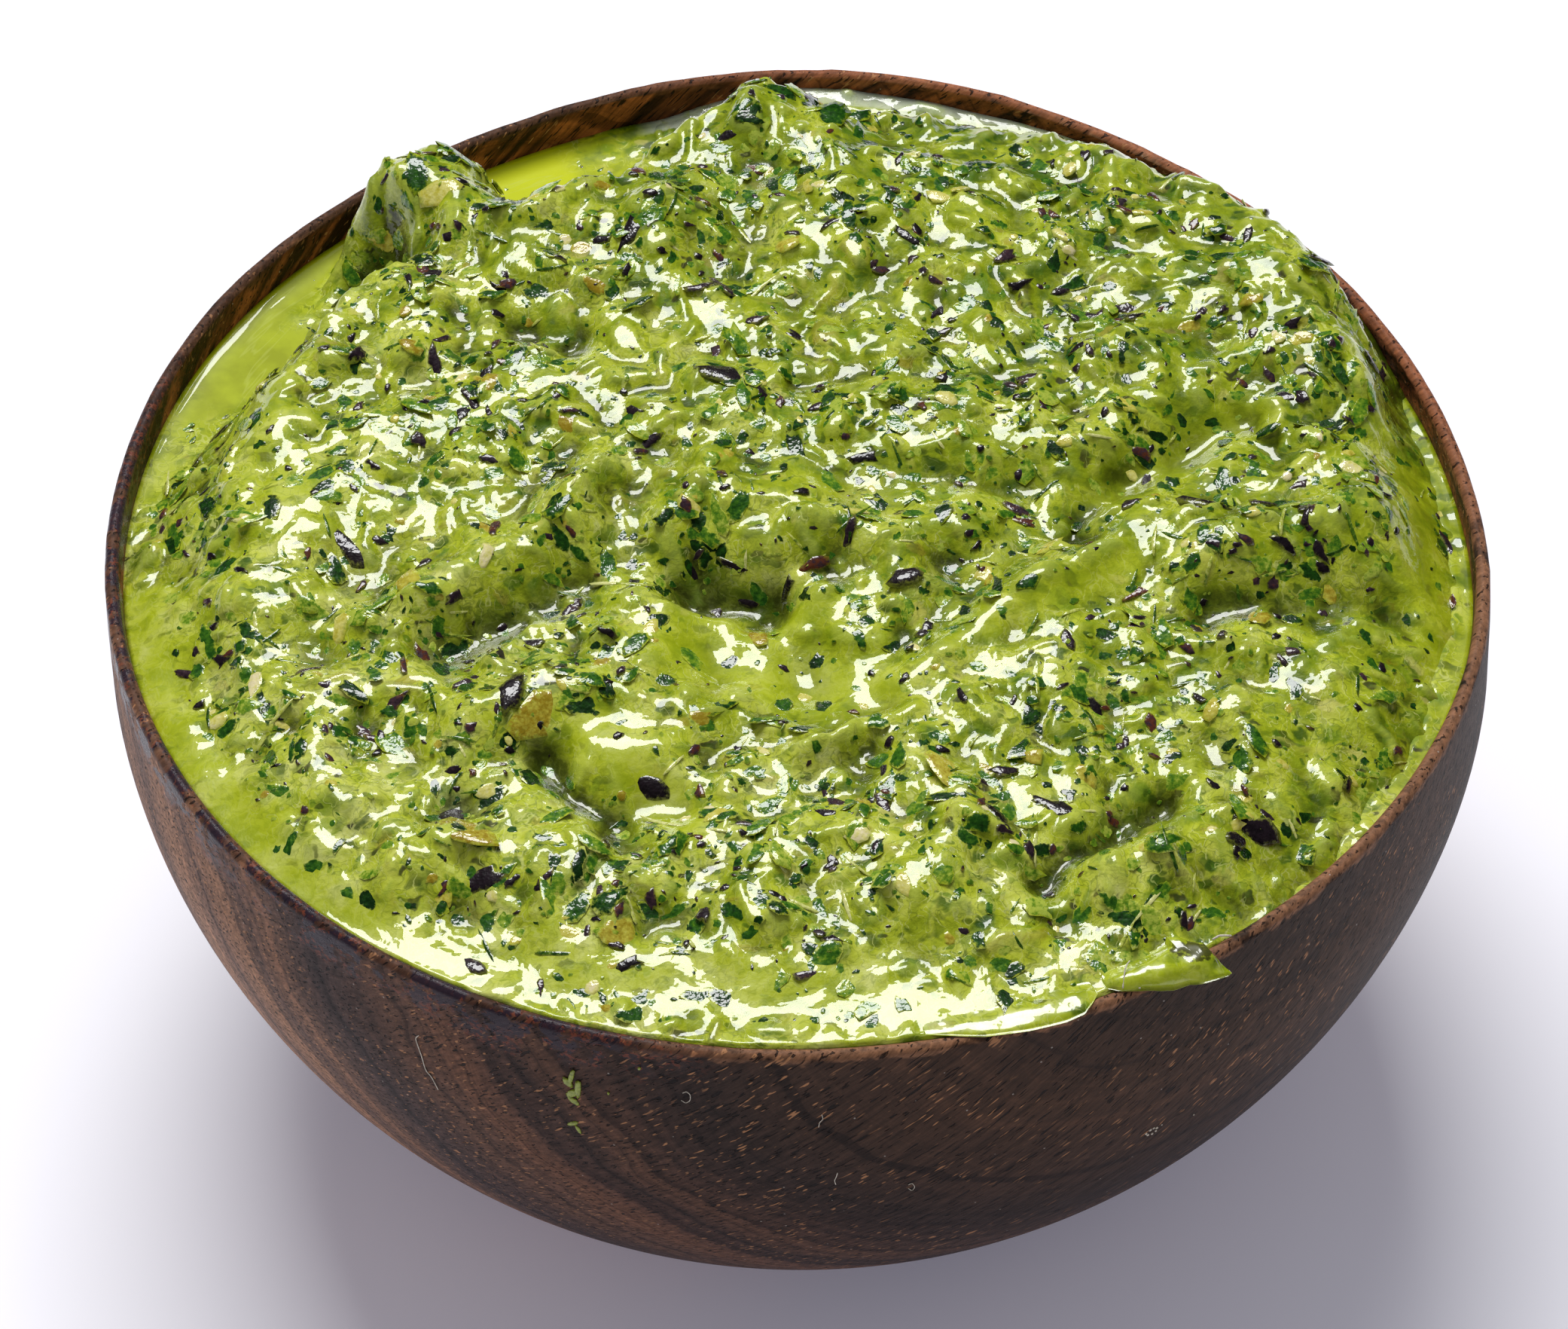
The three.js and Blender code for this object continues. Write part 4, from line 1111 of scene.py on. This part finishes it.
def bitFinish(name):
    # tone of each bit from its own value, mottled by noise; toward its edge the paste's own
    # colour covers it, as far as the piece's soft value says; the same oily film on top
    finish, tree, shader, place = newFinish(name)
    swing = minus(tree, noise(tree, place, 2.2, 3.0, 0.65), 0.5)
    tone = plus(tree, ownValue(tree, "tone"), times(tree, swing, 1.3), True)
    covered = plus(tree, ownValue(tree, "edge"), times(tree, swing, 1.6))
    covered = times(tree, fade(tree, covered, 0.5, 1.0), bitKinds[name]["soft"])
    paste = pasteColour(tree, place, 1.0, False)[0]
    film = filmBump(tree, place, 1.0, noise(tree, place, 3.0, 1.0))
    fill(tree, shader, {
        "Base Color": mixColour(tree, covered, ramp(tree, tone, bitLooks[name]), paste),
        "Normal": film, "Coat Normal": film, "Roughness": 0.4, "Specular IOR Level": 0.2,
        **pestoLook["film"],
    })
    return finish


bitLooks = {
    "leafBits": [
        (0.0, linear(14, 44, 8)), (0.35, linear(32, 80, 12)), (0.6, linear(64, 112, 18)),
        (0.8, linear(112, 146, 26)), (1.0, linear(168, 184, 66)),
    ],
    "leafShreds": [
        (0.0, linear(24, 60, 8)), (0.4, linear(66, 104, 14)), (0.7, linear(176, 186, 70)),
        (1.0, linear(214, 214, 140)),
    ],
    "leafFlecks": [
        (0.0, linear(20, 52, 8)), (0.4, linear(44, 88, 12)), (0.7, linear(84, 122, 18)),
        (1.0, linear(150, 168, 50)),
    ],
    "oliveChips": [
        (0.0, linear(22, 16, 20)), (0.5, linear(40, 28, 36)), (0.8, linear(62, 42, 50)),
        (1.0, linear(92, 46, 26)),
    ],
    "oliveFlecks": [(0.0, linear(26, 20, 22)), (0.7, linear(50, 40, 34)), (1.0, linear(80, 60, 20))],
    "nutBits": [
        (0.0, linear(150, 128, 20)), (0.4, linear(192, 184, 66)), (0.8, linear(218, 212, 126)),
        (1.0, linear(228, 216, 168)),
    ],
}


def makeBits(name):
    kind = bitKinds[name]
    x, y = scatterPlaces(kind["count"], 53.2)
    count = len(x)
    size = dice.random(count) ** 1.8
    length = between(kind["length"], size)
    width = between(kind["width"], np.clip(size * 0.7 + 0.3 * dice.random(count), 0, 1))
    thick = between(kind["thick"], dice.random(count))
    lift = between(kind["lift"], dice.random(count))
    turn = dice.random(count) * 2 * np.pi
    tone = dice.random(count)
    if name in placedBits:
        rows = np.array(placedBits[name], float)
        x, y, length, width, turn, thick, lift, tone = (
            np.concatenate([scattered, placed])
            for scattered, placed in zip(
                (x, y, length, width, turn, thick, lift, tone),
                (*rows[:, :4].T, np.radians(rows[:, 4]), *rows[:, 5:].T),
            )
        )
    points = bitPoints(kind, x, y, length, width, thick, turn, lift)
    spread = points.shape[1]
    points = points.reshape(-1, 3)
    faces = bitFaces(len(x), kind["sides"], kind["rings"])
    piece = newPiece(name, flattenRim(points), faces, [bitFinish(name)])
    filmNormals(piece, points, kind["film"])
    pointValues(piece, "tone", np.repeat(tone, spread))
    ringEdge = [1.0, 0.9, 0.45] if kind["rings"] == 3 else [1.0, 0.75]
    edge = np.concatenate([np.repeat(ringEdge, kind["sides"]), [1.0, 0.0]])
    pointValues(piece, "edge", np.tile(edge, len(x)))
    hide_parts("pesto")
    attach(piece, "root")


for name in bitKinds:
    makeBits(name)
print("bits scattered")


# laps: the tongue of pesto over the near right of the rim, and the film over the rim beside it

laps = {
    "lip": {
        # heading in degrees, inner and outer radius, height above the rim
        "outline": [
            (-65.8, 52.6, 54.6, 0.15), (-65.0, 52.6, 55.3, 0.5), (-63.6, 52.6, 55.95, 0.8),
            (-62.1, 52.6, 56.5, 0.95), (-61.0, 52.6, 56.8, 1.0), (-59.6, 52.8, 56.9, 1.0),
            (-58.5, 53.4, 57.3, 1.05), (-57.6, 54.1, 57.5, 0.95), (-57.0, 54.5, 57.6, 0.8),
            (-56.85, 55.7, 57.65, 0.55), (-56.6, 56.5, 57.68, 0.42), (-56.2, 57.2, 57.6, 0.22),
        ],
        "steps": 150, "rows": 30, "wave": 0.5, "flake": (29.3, -46.9, 54.2), "seen": 0.35,
    },
    "rimFilm": {
        "outline": [
            (-81, 52.8, 54.7, 0.05), (-79, 52.8, 55.2, 0.2), (-76.5, 52.8, 55.9, 0.3),
            (-73, 52.8, 56.25, 0.35), (-70, 52.8, 56.35, 0.35), (-68.4, 52.8, 56.2, 0.35),
            (-67.4, 52.8, 55.5, 0.25), (-66.6, 52.8, 54.8, 0.1),
        ],
        "steps": 120, "rows": 20, "wave": 0.5, "flake": (0, 0, 0), "seen": 0.7,
    },
}

lapLook = {
    "stops": [(0.34, linear(104, 128, 4)), (0.5, linear(168, 184, 10)), (0.7, linear(192, 202, 70))],
    "flake": linear(40, 34, 14), "thickness": 0.25,
}


def lapFinish(name):
    # paste thinned by oil, with one dark flake on it
    finish, tree, shader, place = newFinish(name)
    tone = grain(tree, place, (0.6, 0.6, 0.6), 5.0, 0.6)
    colour = ramp(tree, tone, lapLook["stops"])
    seen, flow = pasteColour(tree, place, 1.0)
    colour = mixColour(tree, laps[name]["seen"], colour, seen)
    off = vector2(tree, "SUBTRACT", place, laps[name]["flake"])
    away = vector2(tree, "LENGTH", mapped(tree, off, (0.6, 1.2, 0.2), turn=(0, 0, math.radians(-35))))
    ragged = minus(tree, noise(tree, place, 1.6, 3.0, 0.6), 0.5)
    near = plus(tree, away, times(tree, ragged, 2.4))
    colour = mixColour(tree, times(tree, fade(tree, near, 1.15, 0.75), 0.85), colour, lapLook["flake"])
    fill(tree, shader, {
        "Base Color": colour, "Coat Normal": filmBump(tree, flow, 0.6), "Roughness": 0.3,
        **pestoLook["film"],
    })
    return finish


def makeLap(name):
    # Grid round the bowl and outward between the outline's radii. The top is a dome of its
    # height with noise on it, round at the edge; the underside follows the rim just above it.
    lap = laps[name]
    rows = np.array(lap["outline"], float)
    steps, columns = lap["steps"], lap["rows"]
    along, out = np.meshgrid(np.linspace(0, 1, steps), np.linspace(0, 1, columns), indexing="ij")
    heading = rows[0, 0] + (rows[-1, 0] - rows[0, 0]) * along
    inner, outer, tall = [np.interp(heading, rows[:, 0], rows[:, k]) for k in (1, 2, 3)]
    angle = np.radians(heading)
    radius = inner + (outer - inner) * out
    x = radius * np.cos(angle)
    y = radius * np.sin(angle)
    ends = np.clip(1 - np.abs(2 * along - 1) ** 24, 0, 1) ** 0.5
    rounded = np.clip(1 - np.abs(out) ** 7, 0, 1) ** 0.5 * ends
    free = np.clip((inner - 53) / 1.2, 0, 1)  # where the inner edge leaves the paste it is round too
    rounded = rounded * (1 - free * (1 - np.clip(1 - (1 - out) ** 7, 0, 1) ** 0.5))
    wave = 1.0 * smoothNoise(x / 1.9, y / 1.9) + 0.5 * smoothNoise(x / 0.9 + 5, y / 0.9)
    over = smoothStep((radius - bowl["rimRadius"] + 0.4) / 1.6)
    base = bowl["height"] + 0.06 - 0.75 * over**2
    upper = base + tall * (1 + lap["wave"] * wave) * rounded * (1 - 0.15 * over)
    paste = sampleField(fields["top"], x, y)
    merged = smoothStep((radius - 52.8) / 1.9)  # leaves the paste's own surface gently
    upper = np.where(free > 0, upper, (paste - 0.04) * (1 - merged) + upper * merged)
    ground = np.minimum(paste - lapLook["thickness"], base)
    lower = np.where(radius < bowl["lipRadius"] - 0.2, ground, base)
    top = np.stack([x, y, np.maximum(upper, lower + 0.02)], -1).reshape(-1, 3)
    under = np.stack([x, y, lower], -1).reshape(-1, 3)
    grid = gridFaces(steps, columns, False)
    count = len(top)
    index = np.arange(count).reshape(steps, columns)
    rim = np.concatenate([index[:-1, 0], index[-1, :-1], index[:0:-1, -1], index[0, :0:-1]])
    walls = np.stack([rim, np.roll(rim, -1), np.roll(rim, -1) + count, rim + count], 1)
    points = np.concatenate([top, under])
    if isUpsideDown(top, grid):
        grid = grid[:, ::-1]
    else:
        walls = walls[:, ::-1]
    piece = newPiece(name, flattenRim(points), [grid, grid[:, ::-1] + count, walls], [lapFinish(name)])
    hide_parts("pesto")
    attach(piece, "root")


for name in laps:
    makeLap(name)
print("laps laid over the rim")


# hairs, the scuff of pale crumbs and the green smears on the outer wall

marks = {
    # points along each hair, in millimetres, and its radius
    "hairs": [
        (0.045, [(-30.2, -47.9, 46.6), (-30.4, -47.6, 46.1), (-30.2, -47.6, 45.3), (-29.8, -47.5, 44.2),
                 (-29.4, -47.3, 42.7), (-28.9, -47.4, 42.2), (-28.3, -47.3, 40.8)]),
        (0.035, [(1.85, -55.9, 39.2), (1.75, -55.9, 38.6), (1.6, -55.8, 38.1), (1.7, -55.7, 37.5)]),
        (0.03, [(-9.71, -55.24, 48.45), (-9.42, -55.29, 48.68), (-9.14, -55.33, 48.36), (-9.16, -55.34, 47.67),
                (-9.51, -55.3, 47.28), (-9.84, -55.23, 47.56)]),
        (0.03, [(0.72, -56.12, 46.6), (0.83, -56.11, 46.06), (0.54, -56.15, 45.67), (0.47, -56.14, 45.13)]),
        (0.03, [(7.28, -54.94, 36.49), (7.57, -54.95, 36.68), (7.8, -54.79, 36.01), (7.57, -54.68, 35.43),
                (7.28, -54.83, 35.9)]),
        (0.06, [(24.23, -48.17, 54.3), (24.0, -48.5, 54.3), (23.81, -48.99, 54.1), (23.64, -50.06, 53.4)]),
        (0.09, [(30.7, -45.2, 53.2), (31.2, -45.0, 53.4), (31.6, -44.95, 53.35), (32.1, -44.85, 53.2)]),
    ],
    # pale crumbs: x, y, z, size
    "crumbs": [
        (26.9, -48.2, 34.3, 0.3), (26.6, -48.3, 34.5, 0.24), (26.3, -48.4, 34.45, 0.3),
        (26.0, -48.5, 34.1, 0.26), (26.15, -48.35, 33.75, 0.3), (26.5, -48.1, 33.6, 0.28),
        (26.8, -48.0, 33.8, 0.24), (27.3, -48.0, 34.4, 0.16),
        (29.8, -45.8, 33.2, 0.2), (24.46, -49.62, 53.5, 0.22), (24.91, -50.04, 53.35, 0.2),
    ],
    # green smears: x, y, z, length, width, heading in degrees from the vertical
    "smears": [
        (-18.2, -53.1, 47.9, 2.3, 0.45, 12), (-17.7, -53.2, 46.7, 2.4, 0.6, 4),
        (-18.2, -53.1, 46.0, 1.4, 0.75, 40),
        (-18.1, -53.1, 45.2, 1.3, 0.6, -50), (-18.5, -53, 47.2, 1.2, 0.7, -30),
        (-18.3, -53.1, 42.4, 1.2, 0.5, 50), (-17.9, -53.2, 41.8, 1.1, 0.35, -20),
        (-15.4, -54, 47, 0.3, 0.2, 0), (-12.9, -54.5, 50.6, 0.4, 0.25, 20),
    ],
    "pale": linear(222, 212, 196), "green": linear(148, 160, 56),
}


def onWall(points, proud):
    # moved along the bowl's radius to stand the given distance off the outer wall
    points = np.array(points, float)
    radius = outerRadius(np.clip(points[:, 2], 0, bowl["height"])) + proud
    scale = radius / np.hypot(points[:, 0], points[:, 1])
    onSide = points[:, 2] < bowl["height"]
    points[:, :2] *= np.where(onSide, scale, 1)[:, None]
    return points


def tube(path, radius, sides=5, steps=5):
    # circle of the radius carried along a smooth curve through the points, closed to tips
    path = np.asarray(path, float)
    at = np.linspace(0, len(path) - 1, (len(path) - 1) * steps + 1)
    line = np.stack([np.interp(at, np.arange(len(path)), path[:, k]) for k in range(3)], 1)
    for _ in range(2):
        line[1:-1] = 0.25 * line[:-2] + 0.5 * line[1:-1] + 0.25 * line[2:]
    ahead = np.gradient(line, axis=0)
    ahead /= np.linalg.norm(ahead, axis=1)[:, None]
    side = np.cross(ahead, (0.3, 0.5, 0.81))
    side /= np.linalg.norm(side, axis=1)[:, None]
    up = np.cross(side, ahead)
    around = np.arange(sides) / sides * 2 * np.pi
    ring = np.cos(around)[None, :, None] * side[:, None] + np.sin(around)[None, :, None] * up[:, None]
    points = (line[:, None] + radius * ring).reshape(-1, 3)
    count = len(line)
    quads = gridFaces(count, sides, True)
    tips = np.array([line[0] - ahead[0] * radius, line[-1] + ahead[-1] * radius])
    first = np.arange(sides)
    hub = count * sides
    caps = np.concatenate([fan(first, hub)[:, [1, 0, 2]], fan(first + hub - sides, hub + 1)])
    return np.concatenate([points, tips]), quads, caps


def joinParts(parts):
    # one mesh's points and faces from several
    points, quads, caps, offset = [], [], [], 0
    for part in parts:
        points.append(part[0])
        quads.append(part[1] + offset)
        caps.append(part[2] + offset)
        offset += len(part[0])
    return np.concatenate(points), [np.concatenate(quads), np.concatenate(caps)]


def markFinish(name, colour, roughness):
    finish, tree, shader, place = newFinish(name)
    mottle = noise(tree, place, 4.0, 3.0)
    shade = ramp(tree, mottle, [(0.3, (0.55, 0.55, 0.5, 1)), (0.6, (1, 1, 1, 1))])
    fill(tree, shader, {
        "Base Color": mixColour(tree, 1.0, colour, shade, "MULTIPLY"),
        "Normal": bump(tree, mottle, 0.5, 0.0001), "Roughness": roughness,
    })
    return finish


def blob(centre, axes):
    # ball of three rings squashed to the three half axes, given as vectors
    sides = 8
    around = np.arange(sides) / sides * 2 * np.pi
    heights = np.array([-0.7, 0.0, 0.7])
    wide = np.sqrt(1 - heights**2)
    wobble = 0.85 + 0.3 * dice.random((3, sides))
    local = np.stack([
        wide[:, None] * np.cos(around) * wobble, wide[:, None] * np.sin(around) * wobble,
        np.repeat(heights[:, None], sides, 1),
    ], -1).reshape(-1, 3)
    local = np.concatenate([local, [(0, 0, -1), (0, 0, 1)]])
    faces = bitFaces(1, sides, 3)
    return centre + local @ np.asarray(axes, float), faces[0], faces[1]


def wallFrame(x, y, z, lean):
    # outward, and two directions in the wall, the first leaning from the vertical
    angle = math.atan2(y, x)
    rise = outerRadius(z + 0.5) - outerRadius(z - 0.5)
    out = np.array([math.cos(angle), math.sin(angle), -rise])
    out /= np.linalg.norm(out)
    flat = np.array([-math.sin(angle), math.cos(angle), 0])
    up = np.cross(out, flat)
    long = math.cos(lean) * up + math.sin(lean) * flat
    return out, long, np.cross(out, long)


def makeMarks():
    hairs = [tube(onWall(path, radius * 0.8), radius) for radius, path in marks["hairs"]]
    crumbs = []
    for x, y, z, size in marks["crumbs"]:
        centre = onWall([(x, y, z)], 0.02)[0]
        out, long, wide = wallFrame(x, y, min(z, 52), 0.4)
        if z > bowl["height"]:
            out, long, wide = np.eye(3)[[2, 0, 1]]
        crumbs.append(blob(centre, [0.5 * size * long, 0.4 * size * wide, 0.3 * size * out]))
    smears = []
    for x, y, z, length, width, lean in marks["smears"]:
        centre = onWall([(x, y, z)], 0.0)[0]
        out, long, wide = wallFrame(x, y, z, math.radians(lean))
        smears.append(blob(centre, [0.5 * length * long, 0.5 * width * wide, 0.1 * out]))
    for name, parts, colour, roughness, slot in (
        ("paleHairs", hairs, marks["pale"], 0.5, "wood"), ("paleCrumbs", crumbs, marks["pale"], 0.8, "wood"),
        ("greenSmears", smears, marks["green"], 0.25, "pesto"),
    ):
        points, faces = joinParts(parts)
        piece = newPiece(name, flattenRim(points), faces, [markFinish(name, colour, roughness)])
        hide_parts("bowl" if slot == "wood" else "pesto")
        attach(piece, "root")


makeMarks()
print("marks laid on the outside")


# oil

oilLook = {
    "deep": linear(152, 162, 2), "shallow": linear(172, 184, 20), "streak": linear(196, 206, 96),
    # painted light: the far pool's colour is painted brighter
    "far": linear(206, 214, 8),  # the far pool, lit through from behind
    "clearDepth": 2.2,
    # where the sheet starts and the depth under the pesto at which it ends, in millimetres
    "turns": 720, "across": 48, "innerRadius": 36, "covered": 0.7,
    "creep": 0.16, "creepReach": 0.25,  # height and reach of its edge
}


def oilFinish():
    # Where it is shallow the paste shows through; deep oil is clouded by noise. Streaks run round
    # the bowl: noise of the direction from its middle, slow, and of the radius, fast.
    finish, tree, shader, place = newFinish("pestoOil")
    cloud = grain(tree, place, (0.25, 0.25, 0.25), 4.0, 0.6)
    clouded = ramp(tree, cloud, [(0.36, oilLook["deep"]), (0.6, oilLook["shallow"])])
    flat = vector2(tree, "MULTIPLY", place, (1, 1, 0))
    slowTurn = vector2(tree, "MULTIPLY", vector2(tree, "NORMALIZE", flat), (5, 5, 0))
    outward = put(tree, "CombineXYZ", {"Z": times(tree, vector2(tree, "LENGTH", flat), 0.7)}).outputs[0]
    streaks = noise(tree, vector2(tree, "ADD", slowTurn, outward), 1.0)
    streak = math2(tree, "ABSOLUTE", minus(tree, streaks, 0.52))
    # painted light: toward the far side the oil is painted brighter, where the wall shades it
    farness = fade(tree, part(tree, place, "Y"), 34, 48)
    clouded = mixColour(tree, times(tree, farness, 0.8), clouded, oilLook["far"])
    clouded = mixColour(tree, times(tree, fade(tree, streak, 0.03, 0.0), 0.3), clouded, oilLook["streak"])
    seen = pasteColour(tree, place, 1.0)[0]
    share = plus(tree, ownValue(tree, "depth"), times(tree, minus(tree, cloud, 0.5), 0.5), True)
    fill(tree, shader, {
        "Base Color": mixColour(tree, fade(tree, share, 0.0, 0.75), seen, clouded),
        "Roughness": 0.3, "Specular IOR Level": 0.2, "Coat Weight": 1.0, "Coat Roughness": 0.02,
        "Coat IOR": 1.5, "Coat Normal": bump(tree, streaks, 0.05, 0.001),
    })
    return finish


def makeOil():
    # Rings between the heap's slope and the wall at the oil's level. The sheet runs on under the
    # pesto until it is well covered, and creeps up where it meets the pesto and the wall.
    turns, across = oilLook["turns"], oilLook["across"]
    angle, share = np.meshgrid(
        np.linspace(0, 2 * np.pi, turns, endpoint=False), np.linspace(0, 1, across), indexing="xy",
    )
    level = oilHeight(52 * np.cos(angle), 52 * np.sin(angle))
    radius = between((oilLook["innerRadius"], innerRadius(level) + 0.02), share)
    x = radius * np.cos(angle)
    y = radius * np.sin(angle)
    z = oilHeight(x, y)
    depth = z - sampleField(fields["top"], x, y)
    z = z + filmClimb(x, y) + oilLook["creep"] * np.exp(-np.abs(depth) / oilLook["creepReach"])
    points = np.stack([x, y, z], -1).reshape(-1, 3)
    quads = gridFaces(across, turns, True)
    stands = (depth.ravel() > -oilLook["covered"])[quads].any(1)
    sheet = quads[stands]
    used, sheet = np.unique(sheet, return_inverse=True)
    sheet = sheet.reshape(-1, 4)
    points = points[used]
    deep = np.clip(depth.ravel()[used] / oilLook["clearDepth"], 0, 1)
    if isUpsideDown(points, sheet):
        sheet = sheet[:, ::-1]
    closed, faceSets = closeSheet(points, sheet, np.array([0, 0, -oil["thickness"]]))
    piece = newPiece("oilRing", flattenRim(closed), faceSets, [oilFinish()])
    pointValues(piece, "depth", np.concatenate([deep, deep]))
    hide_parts("oil_ring", "oil_pool")
    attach(piece, "root")


makeOil()
print("oil poured")


# floor


def makeFloor():
    finish, tree, shader, place = newFinish("paleFloor")
    fill(tree, shader, {
        "Base Color": (*studio["floorColour"], 1), "Roughness": 0.6,
        "Emission Color": (*studio["floorGlow"], 1), "Emission Strength": 1.0,
    })
    half = studio["floorSize"] / 2 / mm
    corners = np.array([(-half, -half, 0), (half, -half, 0), (half, half, 0), (-half, half, 0)])
    floor = newPiece("floor", corners, [np.array([[0, 1, 2, 3]])], [finish])


makeFloor()
